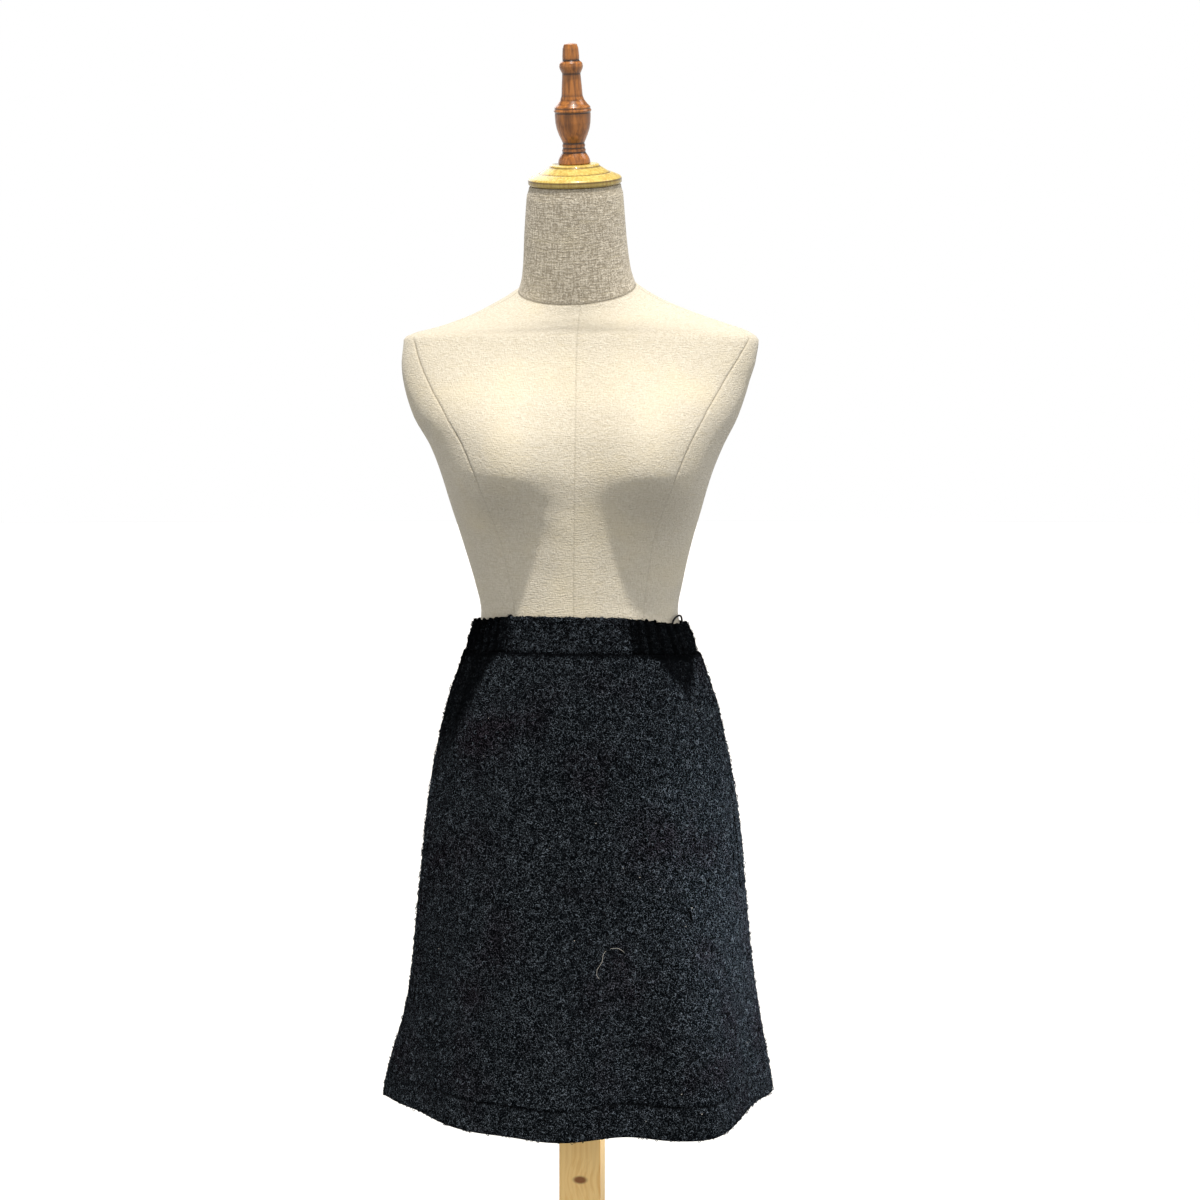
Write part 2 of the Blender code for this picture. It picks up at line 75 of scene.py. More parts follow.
# %% Measures of the pieces, in metres and degrees
BASE_THICKNESS = 0.024
BASE_RADIUS = 0.190
BASE_ROUNDING = 0.008
BAND_BOTTOM = (1.0228, 1.0196)
BAND_TOP = (1.0622, 1.0532)
SKIRT_HEM = 0.5345
SKIRT_TURN = 7.0
NECK_TURN = 8.0
SEAM_GAP = 0.0003
CLOTH = 0.0026
HEM_DEPTH = 0.033
HEM_RISE = 0.0025
SIDE_SEAM_ANGLE = 82.0
FLAT_FRONT_ANGLE = 35.0
BAND_EASE = (0.0010, 0.0038)
BAND_WALL = 0.0060
BAND_TILT = 0.012
GATHER_COUNT = 44
GATHER_DEPTH = 0.0036
SKIRT_GATHER_DEPTH = 0.0050
SKIRT_GATHER_LENGTH = 0.085
LOOP_ANGLES = (70.0, 93.0)
LOOP_RISE = 0.0085
LOOP_TAIL = 0.006
LOOP_CORD = 0.0022
PANEL_LENGTH = BAND_BOTTOM[1] - SEAM_GAP - SKIRT_HEM

FORM_COLUMNS = ("height", "centre_x", "half_width", "front", "back", "squareness", "centre_y",
                "tilt")
FORM_SECTIONS = (
    (0.8, 0.0, 0.144, 0.086, 0.098, 2.2, 0.0, 0.0),
    (0.85, 0.0, 0.151, 0.094, 0.107, 2.2, 0.0, 0.0),
    (0.9, 0.0, 0.149, 0.098, 0.109, 2.2, 0.0, 0.0),
    (0.95, -0.0005, 0.139, 0.096, 0.099, 2.1, 0.0, 0.0),
    (0.99, -0.001, 0.125, 0.09, 0.087, 2.0, 0.0, 0.0),
    (1.02, -0.0008, 0.1152, 0.085, 0.078, 2.0, 0.0, 0.0),
    (1.045, -0.0016, 0.1088, 0.082, 0.074, 2.0, 0.0, 0.0),
    (1.065, -0.0025, 0.1065, 0.082, 0.073, 2.0, 0.0, 0.0),
    (1.097, -0.0035, 0.1125, 0.085, 0.076, 2.0, 0.0, 0.0),
    (1.13, -0.0045, 0.1208, 0.09, 0.082, 2.1, 0.0, 0.0),
    (1.17, -0.0055, 0.1327, 0.097, 0.089, 2.2, 0.0, 0.0),
    (1.211, -0.0058, 0.145, 0.102, 0.095, 2.3, 0.0, 0.0),
    (1.243, -0.0055, 0.1575, 0.1, 0.099, 2.5, 0.0, 0.0),
    (1.275, -0.0065, 0.1745, 0.092, 0.101, 2.8, 0.0, 0.0),
    (1.308, -0.006, 0.185, 0.078, 0.099, 3.0, 0.0, 0.0),
    (1.336, -0.0032, 0.1902, 0.067, 0.092, 3.0, 0.0, 0.0),
    (1.356, -0.0008, 0.1905, 0.061, 0.084, 2.8, 0.0, 0.0),
    (1.365, -0.0012, 0.178, 0.059, 0.079, 2.6, 0.0, 3.0),
    (1.374, -0.003, 0.148, 0.0585, 0.075, 2.3, 0.0, 8.0),
    (1.384, -0.0052, 0.118, 0.058, 0.071, 2.1, 0.0, 13.0),
    (1.3935, -0.007, 0.0945, 0.0575, 0.067, 2.0, 0.0, 18.0),
    (1.403, -0.0066, 0.076, 0.0565, 0.062, 2.0, 0.0, 22.0),
    (1.4125, -0.0052, 0.0635, 0.055, 0.057, 2.0, -0.001, 24.0),
    (1.432, -0.0058, 0.058, 0.054, 0.054, 2.0, -0.007, 21.0),
    (1.475, -0.007, 0.054, 0.052, 0.052, 2.0, -0.019, 16.0),
    (1.5185, -0.007, 0.0503, 0.05, 0.05, 2.0, -0.031, 13.0),
)
COLLAR_SEAM = 1.4125
BUST_HEIGHT = 1.216
BUST_X = 0.076
BUST_REACH = 0.036
BUST_SPREAD_IN = 0.046
BUST_SPREAD_OUT = 0.085
BUST_SPREAD_UP = 0.080
BUST_SPREAD_DOWN = 0.046

SKIRT_COLUMNS = ("height", "half_width", "front", "back", "squareness")
SKIRT_SECTIONS = (
    (0.5345, 0.2065, 0.169, 0.16, 1.95),
    (0.58, 0.1995, 0.161, 0.156, 1.95),
    (0.64, 0.1905, 0.152, 0.15, 2.0),
    (0.7, 0.1835, 0.143, 0.144, 2.0),
    (0.77, 0.177, 0.1325, 0.138, 2.0),
    (0.84, 0.17, 0.122, 0.1315, 2.0),
    (0.88, 0.1645, 0.116, 0.1275, 2.0),
    (0.92, 0.157, 0.111, 0.121, 2.05),
    (0.95, 0.15, 0.1065, 0.1135, 2.05),
    (0.975, 0.142, 0.102, 0.105, 2.0),
    (1.0, 0.131, 0.097, 0.0945, 2.0),
    (1.0193, 0.1235, 0.0935, 0.086, 2.0),
)
FOLD_COLUMNS = ("angle", "spread", "reach", "drop", "fades_at")
HEM_FOLDS = (
    (1.0, 14.0, 0.0132, 0.0038, 0.84),
    (30.0, 8.0, -0.004, 0.0036, 0.72),
    (44.0, 15.5, 0.02, 0.0101, 0.9),
    (80.5, 16.0, -0.012, 0.0014, 0.84),
    (104.0, 13.0, 0.007, 0.0, 0.78),
    (130.0, 13.0, -0.009, 0.0, 0.8),
    (155.0, 13.0, 0.013, 0.002, 0.88),
    (180.0, 11.0, -0.007, 0.0, 0.8),
    (206.0, 14.0, 0.012, 0.002, 0.86),
    (236.0, 12.0, -0.01, 0.0, 0.82),
    (268.0, 13.0, 0.015, 0.0, 0.68),
    (303.0, 17.0, -0.0138, 0.0, 0.84),
    (335.0, 14.0, 0.0023, 0.0018, 0.8),
)
CAP_PROFILE = ((0.0, 0.0), (0.048, 0.0), (0.0497, 0.0015), (0.0497, 0.006), (0.048, 0.008),
               (0.0385, 0.0122), (0.0378, 0.0116), (0.0265, 0.019), (0.0262, 0.0205),
               (0.0242, 0.0212), (0.0, 0.0212))
FINIAL_PROFILE = (
    (0.0, 0.0), (0.0168, 0.0), (0.0172, 0.0008), (0.0164, 0.005), (0.0152, 0.0075),
    (0.0129, 0.0112), (0.0121, 0.0122), (0.0127, 0.0143), (0.0115, 0.0167), (0.0123, 0.019),
    (0.0113, 0.0214), (0.0128, 0.0248), (0.0152, 0.0302), (0.0174, 0.0365), (0.0185, 0.0425),
    (0.019, 0.0518), (0.0186, 0.0532), (0.0201, 0.0552), (0.0187, 0.0575), (0.0191, 0.0588),
    (0.016, 0.0618), (0.0128, 0.0662), (0.0112, 0.0705), (0.0106, 0.08), (0.0096, 0.0932),
    (0.0121, 0.0985), (0.0125, 0.1008), (0.0118, 0.1042), (0.0088, 0.1066), (0.0089, 0.111),
    (0.0083, 0.119), (0.0068, 0.1234), (0.0, 0.1246))
print("skirt panel from waist seam to hem:", round(PANEL_LENGTH, 3), "m")

# %% [markdown]
# ## Camera
#
# The photograph was taken from the height of the form's bust, looking a few degrees down, with
# the form a little left of the middle. A pixel there is about a millimetre on the skirt. The
# camera comes first, so that everything can be looked at while it is made.

# %% Camera at the photograph's angle
camera_lens = bpy.data.cameras.new("camera")
camera_lens.sensor_width = 36.0
camera_lens.lens = 72.2
camera = bpy.data.objects.new("camera", camera_lens)
camera.location = (0.0194, -2.6, 1.21)
camera.rotation_euler = (math.radians(90.0 - 2.95), 0.0, 0.0)
bpy.context.scene.collection.objects.link(camera)
bpy.context.scene.camera = camera
print("camera", [round(value, 3) for value in camera.location])

# %% [markdown]
# ## Smooth curves from few values
#
# Between two measured sections a pattern cutter draws a fair curve. `monotone` does the same with
# cubic pieces that never overshoot. An outline of a section is a superellipse, and `pushed` moves
# a level curve outwards, which is how thickness, folds and gathers are all made.

# %% Curves and sections
def monotone(knots, values, at):
    """Cubic pieces through (knots, values). The slope at a knot is the harmonic mean of the two
    steps beside it, or 0 where they turn, so the curve makes no bump of its own."""
    knots, values, at = (np.asarray(part, float) for part in (knots, values, at))
    width = np.diff(knots)
    step = np.diff(values) / width
    slope = np.zeros(len(knots))
    same_way = step[:-1] * step[1:] > 0
    before, after = step[:-1][same_way], step[1:][same_way]
    slope[1:-1][same_way] = 2 * before * after / (before + after)
    slope[0], slope[-1] = step[0], step[-1]
    piece = np.clip(np.searchsorted(knots, at) - 1, 0, len(width) - 1)
    wide = width[piece]
    t = np.clip((at - knots[piece]) / wide, 0.0, 1.0)
    return (values[piece] * (1 + 2 * t) * (1 - t) ** 2 + slope[piece] * wide * t * (1 - t) ** 2
            + values[piece + 1] * t * t * (3 - 2 * t)
            - slope[piece + 1] * wide * t * t * (1 - t))


def read_table(columns, rows, heights):
    """Each column of a table of sections at these heights, by name."""
    grid = np.array(rows)
    return {name: monotone(grid[:, 0], grid[:, index], heights)
            for index, name in enumerate(columns)}


def outline(angles, section):
    """x and y of a superellipse: (x/width)^n + (y/depth)^n = 1, with its own depth to the front
    and to the back."""
    across, along = np.sin(angles), np.cos(angles)
    depth = np.where(along > 0, section["front"], section["back"])
    power = section["squareness"]
    swell = (np.abs(across) ** power + np.abs(along) ** power) ** (-1 / power)
    return section["half_width"] * across * swell, -depth * along * swell


def pushed(curve, angles, distance):
    """x and y of curve(angles) moved by a distance along its level normal. The normal is the
    step from 0.2 degrees behind to 0.2 degrees ahead, turned a quarter outwards."""
    step = math.radians(0.2)
    ahead, behind = curve(angles + step), curve(angles - step)
    run_x, run_y = ahead[0] - behind[0], ahead[1] - behind[1]
    length = np.hypot(run_x, run_y)
    x, y = curve(angles)
    return x + distance * run_y / length, y - distance * run_x / length


def fade(value, start, end):
    """0 at start and 1 at end, by t*t*(3 - 2t) between them."""
    t = np.clip((value - start) / (end - start), 0.0, 1.0)
    return t * t * (3 - 2 * t)


def bump_at(value, width):
    """A bell, exp(-(value/width)^2)."""
    return np.exp(-(value / width) ** 2)


def turn_apart(angles, centre):
    """Signed degrees round the body from centre to each angle in radians."""
    return (np.degrees(angles) - centre + 180.0) % 360.0 - 180.0


def lumps(across, down, cell, seed):
    """Smooth random heights from -1 to 1: random values at the corners of squares with sides of
    one cell, and between the corners the blend t*t*(3 - 2t) in both directions."""
    corners = np.random.default_rng(seed).uniform(-1.0, 1.0, (251, 241))
    u, v = np.broadcast_arrays(across / cell, down / cell)
    i, j = np.floor(u).astype(int), np.floor(v).astype(int)
    s, t = fade(u - i, 0.0, 1.0), fade(v - j, 0.0, 1.0)
    i, j, after_i, after_j = i % 251, j % 241, (i + 1) % 251, (j + 1) % 241
    return ((corners[i, j] * (1 - s) + corners[after_i, j] * s) * (1 - t)
            + (corners[i, after_j] * (1 - s) + corners[after_i, after_j] * s) * t)


def unit(vectors):
    """Each vector divided by its own length."""
    return vectors / np.maximum(np.linalg.norm(vectors, axis=-1, keepdims=True), 1e-12)


def steps_of(points, axis=0):
    """Lengths of the steps from each point to the next along an axis."""
    return np.linalg.norm(np.diff(points, axis=axis), axis=-1)


def running(lengths, axis=0):
    """Running sums, from 0."""
    sums = np.cumsum(lengths, axis=axis)
    return np.concatenate([np.zeros_like(sums.take([0], axis=axis)), sums], axis=axis)


def normals_of(points, wrap=False):
    """Unit normals of a grid of points, the cross product of its steps right and down."""
    if wrap:
        across = np.roll(points, -1, axis=1) - np.roll(points, 1, axis=1)
    else:
        across = np.gradient(points, axis=1)
    return unit(np.cross(np.gradient(points, axis=0), across))


at_bust = read_table(FORM_COLUMNS, FORM_SECTIONS, BUST_HEIGHT)
print("half the form's width at the bust:", round(float(at_bust["half_width"]), 4))

# %% [markdown]
# ## From grids of points to meshes
#
# Most pieces here are a grid of points: rows run down the piece and columns run round it. A sheet
# of cloth is two such grids, its outer and inner face, joined along the four cut edges so that it
# is closed. `add_piece` puts the arrays in a mesh, with a UV map in metres, so that a weave
# follows the cloth, and with named numbers on the points that materials can read.

# %% Mesh helpers
def quads(index):
    """The four point numbers of each cell of a grid, facing out where rows run down and columns
    run to the right."""
    cells = np.stack([index[:-1, :-1], index[1:, :-1], index[1:, 1:], index[:-1, 1:]], axis=-1)
    return cells.reshape(-1, 4)


def add_piece(name, points, faces, finish, replaces=(), corner_uv=None, marks=None):
    """A smooth-shaded mesh at the origin from points and arrays of faces. corner_uv is a UV for
    each face corner, and each mark a number for each point."""
    mesh = bpy.data.meshes.new(name)
    rows = [row for part in faces for row in part.tolist()]
    mesh.from_pydata(points.reshape(-1, 3).tolist(), [], rows)
    if corner_uv is not None:
        mesh.uv_layers.new(name="cut").data.foreach_set("uv", corner_uv.astype(np.float32).ravel())
    for mark, values in (marks or {}).items():
        layer = mesh.attributes.new(mark, "FLOAT", "POINT")
        layer.data.foreach_set("value", np.asarray(values, np.float32).ravel())
    mesh.shade_smooth()
    mesh.materials.append(finish)
    piece = bpy.data.objects.new(name, mesh)
    bpy.context.scene.collection.objects.link(piece)
    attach(piece, "root")
    if replaces:
        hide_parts(*replaces)
    print(f"{name}: {len(mesh.vertices)} points, {sum(len(row) - 2 for row in rows)} triangles")
    return piece


def wall_faces(front, back):
    """Faces of a closed sheet. front and back are the point numbers of its two faces, and front
    has a whole number of rows for each row of back."""
    ratio = (len(front) - 1) // (len(back) - 1)
    steps = ratio * np.arange(len(back) - 1)
    left = [front[steps + k, 0] for k in range(ratio, -1, -1)] + [back[:-1, 0], back[1:, 0]]
    right = [front[steps + k, -1] for k in range(ratio + 1)] + [back[1:, -1], back[:-1, -1]]
    top = [front[0, :-1], front[0, 1:], back[0, 1:], back[0, :-1]]
    foot = [front[-1, :-1], back[-1, :-1], back[-1, 1:], front[-1, 1:]]
    return [quads(front), quads(back[:, ::-1]), np.stack(left, 1), np.stack(right, 1),
            np.stack(top, 1), np.stack(foot, 1)]


def ring_faces(count, around):
    """Faces of a stack of rings, closed by two fans to the points at its top and its foot, which
    come after the rings' own points."""
    index = np.arange(count * around).reshape(count, around)
    looped = np.concatenate([index, index[:, :1]], axis=1)
    top, foot = (np.full(around, index.size + pole) for pole in (0, 1))
    return [quads(looped), np.stack([top, looped[0, :-1], looped[0, 1:]], 1),
            np.stack([foot, looped[-1, 1:], looped[-1, :-1]], 1)]


def add_cloth(name, outer, inner, finish, replaces, mark):
    """A closed sheet from its outer and inner grid. Its UV is metres across and down."""
    front = np.arange(outer[..., 0].size).reshape(outer.shape[:2])
    back = front.size + np.arange(inner[..., 0].size).reshape(inner.shape[:2])
    ratio = (len(outer) - 1) // (len(inner) - 1)
    across = running(steps_of(outer, 1).mean(axis=0))
    down = running(steps_of(outer, 0).mean(axis=1))
    flat = np.stack(np.meshgrid(across, -down), axis=-1)
    point_uv = np.concatenate([flat.reshape(-1, 2), flat[::ratio].reshape(-1, 2)])
    faces = wall_faces(front, back)
    corner_uv = np.concatenate([point_uv[part.ravel()] for part in faces])
    painted_shade_and_grooves = np.concatenate([mark.ravel(), mark[::ratio].ravel()])
    points = np.concatenate([outer.reshape(-1, 3), inner.reshape(-1, 3)])
    return add_piece(name, points, faces, finish, replaces, corner_uv, {"painted_shade_and_grooves": painted_shade_and_grooves})


def round_edge(distance, radius):
    """How far a face draws back near a rounded edge: r - sqrt(r^2 - (r - d)^2) within r of it."""
    inside = np.clip(radius - distance, 0.0, radius)
    return radius - np.sqrt(radius ** 2 - inside ** 2)


def tubes(paths, ups, radii, sides):
    """Many thin tubes at once. paths is (tubes, steps, 3), ups a direction for each that is not
    along its path, and radii (tubes, steps). A ring at a step is p + r(cos a * s + sin a * t),
    with s and t at right angles to the path. Returns points, quads and the two end caps."""
    along = unit(np.gradient(paths, axis=1))
    side = unit(np.cross(np.broadcast_to(ups, paths.shape), along))
    other = np.cross(along, side)
    turn = np.linspace(0.0, 2 * math.pi, sides, endpoint=False)
    ring = side[:, :, None] * np.cos(turn)[:, None] + other[:, :, None] * np.sin(turn)[:, None]
    points = paths[:, :, None] + radii[:, :, None, None] * ring
    index = np.arange(points[..., 0].size).reshape(points.shape[:3])
    beside = np.roll(index, -1, axis=2)
    walls = np.stack([index[:, :-1], beside[:, :-1], beside[:, 1:], index[:, 1:]], axis=-1)
    return points, [walls.reshape(-1, 4), index[:, 0, ::-1], index[:, -1]]


print("mesh helpers ready")

# %% [markdown]
# ## Colours and shader nodes
#
# A colour picked from a screen is sRGB, while a shader adds light, so one function turns hex
# values to linear. One more adds a node with its inputs and links. Every material below is built
# with it, from what the real stuff is, and its patterns are scaled in millimetres.

# %% Colour and node helpers
MM = 0.001


def linear(hex_colour):
    """Linear red, green, blue and alpha of an sRGB hex colour: ((c + 0.055) / 1.055)^2.4, or
    c / 12.92 for the darkest."""
    parts = [int(hex_colour[k:k + 2], 16) / 255 for k in (1, 3, 5)]
    return (*[c / 12.92 if c <= 0.04045 else ((c + 0.055) / 1.055) ** 2.4 for c in parts], 1.0)


def feed(node, inputs):
    """Gives each input of a node, by name or number, a value, a hex colour or a link. A link
    comes from a socket, or from another node, whose first output in use it takes."""
    for key, value in inputs.items():
        if isinstance(value, bpy.types.Node):
            value = next(socket for socket in value.outputs if socket.enabled)
        if isinstance(value, bpy.types.NodeSocket):
            node.id_data.links.new(value, node.inputs[key])
        else:
            node.inputs[key].default_value = linear(value) if isinstance(value, str) else value
    return node


def put(tree, kind, inputs, **settings):
    """Adds a shader node to a tree, with its properties and what its inputs are fed."""
    node = tree.nodes.new("ShaderNode" + kind)
    for name, value in settings.items():
        setattr(node, name, value)
    return feed(node, inputs)


def start_material(name, roughness, **sockets):
    """A new material, what adds nodes to it, its Principled shader with these sockets set, and
    its object coordinates."""
    finish = bpy.data.materials.new(name)
    finish.use_nodes = True
    shader = finish.node_tree.nodes["Principled BSDF"]
    named = {key.replace("_", " "): value for key, value in sockets.items()}
    feed(shader, {"Roughness": roughness, **named})
    add = partial(put, finish.node_tree)
    return finish, add, shader, add("TexCoord", {}).outputs["Object"]


def streaks(add, place, sizes, inputs, **settings):
    """Noise drawn out to these sizes in mm along x, y and z, as threads, grain and pores are."""
    fitted = add("Mapping", {"Vector": place, "Scale": [1 / (size * MM) for size in sizes]})
    return add("TexNoise", {"Vector": fitted, "Scale": 1.0, **inputs}, **settings)


print("black wool in linear light:", [round(part, 4) for part in linear("#1c1f23")[:3]])

# %% [markdown]
# ## Boucle wool
#
# Boucle is woven from a yarn whose loose loops stand up as tight little curls of 2 to 4 mm. It
# swallows light. The curls are drawn where a bent noise crosses its middle value, which gives
# short winding ridges. They give the colour and the bump together. The colour is black in the gaps
# and grey on the tips: partly the yarn's own grey fibres, and partly painted shade in the gaps
# and painted light on the tips. A mark on the points takes the cloth to black. That is painted
# shade in seams, stitches and gathers, and painted shadow in two wedges below the band, where
# the nap also closes.

# %% Boucle material
boucle, add, skin, place = start_material("black_boucle_wool", 1.0, Specular_IOR_Level=0.0)
bend = add("TexNoise", {"Vector": place, "Scale": 1 / (4 * MM), "Detail": 1.0})
bent = add("VectorMath", {0: bend.outputs["Color"], 1: (0.004, 0.004, 0.004), 2: place},
           operation="MULTIPLY_ADD")
curl = add("TexNoise", {"Vector": bent, "Scale": 1 / (2.4 * MM), "Detail": 1.5, "Roughness": 0.45})
middle = add("Math", {0: curl, 1: 0.5}, operation="SUBTRACT")
away = add("Math", {0: middle}, operation="ABSOLUTE")
ridge = add("MapRange", {"Value": away, "From Max": 0.085, "To Min": 1.0, "To Max": 0.0},
            interpolation_type="SMOOTHSTEP")
lump = add("TexNoise", {"Vector": place, "Scale": 1 / (8 * MM), "Detail": 2.0})
fuzz = add("TexNoise", {"Vector": place, "Scale": 1 / (0.9 * MM), "Detail": 2.0})
lit_lump = add("MapRange", {"Value": lump, "From Min": 0.36, "From Max": 0.62, "To Min": 0.5})
lit_fuzz = add("MapRange", {"Value": fuzz, "From Min": 0.45, "From Max": 0.67})
light_curl = add("Math", {0: ridge, 1: lit_lump}, operation="MULTIPLY")
tips = add("Math", {0: light_curl, 1: lit_fuzz}, operation="MULTIPLY")
# Black gaps and grey tips: partly the yarn's grey fibres, partly painted shade and painted light
ground = add("Mix", {0: tips, 6: "#050709", 7: "#6c757e"}, data_type="RGBA")
patch = add("TexNoise", {"Vector": place, "Scale": 1 / (70 * MM), "Detail": 2.0})
patch_share = add("MapRange", {"Value": patch, "From Min": 0.5, "From Max": 0.75, "To Max": 0.9})
tinted = add("Mix", {0: patch_share, 6: ground, 7: "#d8b8bf"}, data_type="RGBA",
             blend_type="MULTIPLY")
# Painted shade: a mark on the points takes the cloth to black in seams, stitches, gathers and the
# painted shadow wedges
painted_shade_and_grooves = add("Attribute", {}, attribute_name="painted_shade_and_grooves").outputs["Fac"]
shaded = add("Mix", {0: painted_shade_and_grooves, 6: tinted, 7: "#040506"}, data_type="RGBA")
height = add("Math", {0: ridge, 1: 0.6, 2: fuzz}, operation="MULTIPLY_ADD")
relief = add("Bump", {"Height": height, "Strength": 0.9, "Distance": 1.1 * MM})
feed(skin, {"Base Color": shaded, "Normal": relief})

# The loose curls, slubs and thread ends are the same yarn. A number on their points, "shade",
# runs from black through charcoal to the grey-green tips and, at 1, undyed fibre. On the curls it
# also carries the painted shade of the cloth under them.
yarn, add, skin, place = start_material("boucle_yarn", 1.0, Specular_IOR_Level=0.02)
shade = add("Attribute", {}, attribute_name="shade").outputs["Fac"]
twist = add("TexNoise", {"Vector": place, "Scale": 1 / (0.8 * MM), "Detail": 1.0})
dark_share = add("MapRange", {"Value": shade, "From Max": 0.6})
pale_share = add("MapRange", {"Value": shade, "From Min": 0.8})
dyed = add("Mix", {0: dark_share, 6: "#08090b", 7: "#565e66"}, data_type="RGBA")
undyed = add("Mix", {0: pale_share, 6: dyed, 7: "#cfc8ba"}, data_type="RGBA")
mottled = add("Mix", {0: twist, 6: undyed, 7: "#101214"}, data_type="RGBA", blend_type="MULTIPLY")
fibre = add("Mix", {0: 0.35, 6: undyed, 7: mottled}, data_type="RGBA")
relief = add("Bump", {"Height": twist, "Strength": 0.6, "Distance": 0.3 * MM})
feed(skin, {"Base Color": fibre, "Normal": relief})
print("materials:", boucle.name, yarn.name)

# %% [markdown]
# ## Linen
#
# The form is covered in undyed linen, a plain weave of uneven threads, drawn tight. Real threads
# are about 0.5 mm apart, too fine for this picture, so they are drawn about 1 mm wide: one noise
# is stretched along the warp and one along the weft, a third gives the grain, and a thicker
# thread, a slub, shows here and there. The neck is bound in a coarser, greyer cloth. The threads
# follow each panel's own UV.

# %% Linen material
linen, add, skin, place = start_material("natural_linen", 0.88, Specular_IOR_Level=0.25,
                                         Sheen_Weight=0.12, Sheen_Roughness=0.5)
flat_place = add("TexCoord", {}).outputs["UV"]
neck = add("Attribute", {}, attribute_name="neck").outputs["Fac"]
# Painted shade: a mark on the points darkens the seam lines and the top of the neck under the cap
seam = add("Attribute", {}, attribute_name="painted_shade_and_grooves").outputs["Fac"]
coarse = add("MapRange", {"Value": neck, "To Min": 1.0, "To Max": 0.62})
weave = add("VectorMath", {0: flat_place, "Scale": coarse}, operation="SCALE")
warp, weft = (streaks(add, weave, sizes, {"Detail": 2.0}, noise_dimensions="2D")
              for sizes in ((1.1, 6.0, 1000.0), (7.0, 1.0, 1000.0)))
slub = streaks(add, weave, (26.0, 1.7, 1000.0), {"Detail": 1.0}, noise_dimensions="2D")
slub_share = add("MapRange", {"Value": slub, "From Min": 0.62, "From Max": 0.75, "To Max": 0.5})
grain = add("TexNoise", {"Vector": place, "Scale": 1 / (2.0 * MM), "Detail": 2.5, "Roughness": 0.6})
crossed = add("Math", {0: warp, 1: weft}, operation="ADD")
threads = add("Math", {0: grain, 1: 1.6, 2: crossed}, operation="MULTIPLY_ADD")
torso_share = add("MapRange", {"Value": threads, "From Min": 1.45, "From Max": 2.15})
torso_cloth = add("Mix", {0: torso_share, 6: "#b4ab98", 7: "#c6bfaf"}, data_type="RGBA")
neck_share = add("MapRange", {"Value": threads, "From Min": 1.6, "From Max": 2.2})
neck_cloth = add("Mix", {0: neck_share, 6: "#998f7d", 7: "#d0c7b5"}, data_type="RGBA")
cloth = add("Mix", {0: neck, 6: torso_cloth, 7: neck_cloth}, data_type="RGBA")
slubbed = add("Mix", {0: slub_share, 6: cloth, 7: "#b5ab93"}, data_type="RGBA")
stain = add("TexNoise", {"Vector": place, "Scale": 1 / (60 * MM), "Detail": 2.0})
stain_share = add("MapRange", {"Value": stain, "From Min": 0.5, "From Max": 0.8, "To Max": 0.4})
aged = add("Mix", {0: stain_share, 6: slubbed, 7: "#c9bd9f"}, data_type="RGBA")
# The painted shade of the seams and the painted shadow of the cap
linen_with_painted_shade = add("Mix", {0: seam, 6: aged, 7: "#746a57"}, data_type="RGBA")
relief = add("Bump", {"Height": threads, "Strength": 0.75, "Distance": 0.8 * MM})
feed(skin, {"Base Color": linen_with_painted_shade, "Normal": relief})
print("material:", linen.name)

# %% [markdown]
# ## Turned and planed wood
#
# The cap and finial are turned from a pale hardwood, stained and gloss varnished: the grain runs
# along the blank and shows under a clear coat, and the turned grooves are darker.
# The post and base are planed pine, pale with darker late wood in long lines. Each pattern is
# centred on its piece with a Mapping node, stretched along the grain.

# %% Wood materials
neck_top = dict(zip(FORM_COLUMNS, FORM_SECTIONS[-1]))
NECK_TILT = math.radians(neck_top["tilt"])
blank_place = (neck_top["centre_x"], neck_top["centre_y"], neck_top["height"])
blank_turn = (NECK_TILT, 0.0, -math.radians(NECK_TURN))


def varnished(name, pale, deep, groove_colour, grain_mm):
    """Varnished turned wood: noise stretched ten times along the blank, between two colours."""
    finish, add, skin, place = start_material(name, 0.35, Specular_IOR_Level=0.3, Coat_Weight=0.28,
                                              Coat_Roughness=0.06, Coat_IOR=1.45)
    blank = add("Mapping", {"Vector": place, "Location": blank_place, "Rotation": blank_turn},
                vector_type="TEXTURE")
    grain = streaks(add, blank, (grain_mm, grain_mm, 10 * grain_mm),
                    {"Detail": 4.0, "Distortion": 0.6})
    share = add("MapRange", {"Value": grain, "From Min": 0.36, "From Max": 0.64})
    wood = add("Mix", {0: share, 6: deep, 7: pale}, data_type="RGBA")
    # Darker in the turned grooves and on the cap's lower rim
    groove = add("Attribute", {}, attribute_name="painted_shade_and_grooves").outputs["Fac"]
    darker_in_grooves = add("Mix", {0: groove, 6: wood, 7: groove_colour}, data_type="RGBA")
    relief = add("Bump", {"Height": grain, "Strength": 0.15, "Distance": 0.3 * MM})
    feed(skin, {"Base Color": darker_in_grooves, "Normal": relief})
    return finish


golden_wood = varnished("golden_varnished_beech", "#c6b264", "#ad9044", "#4e3414", 3.0)
red_wood = varnished("red_brown_varnished_beech", "#a96a2e", "#70431b", "#2c1608", 3.2)

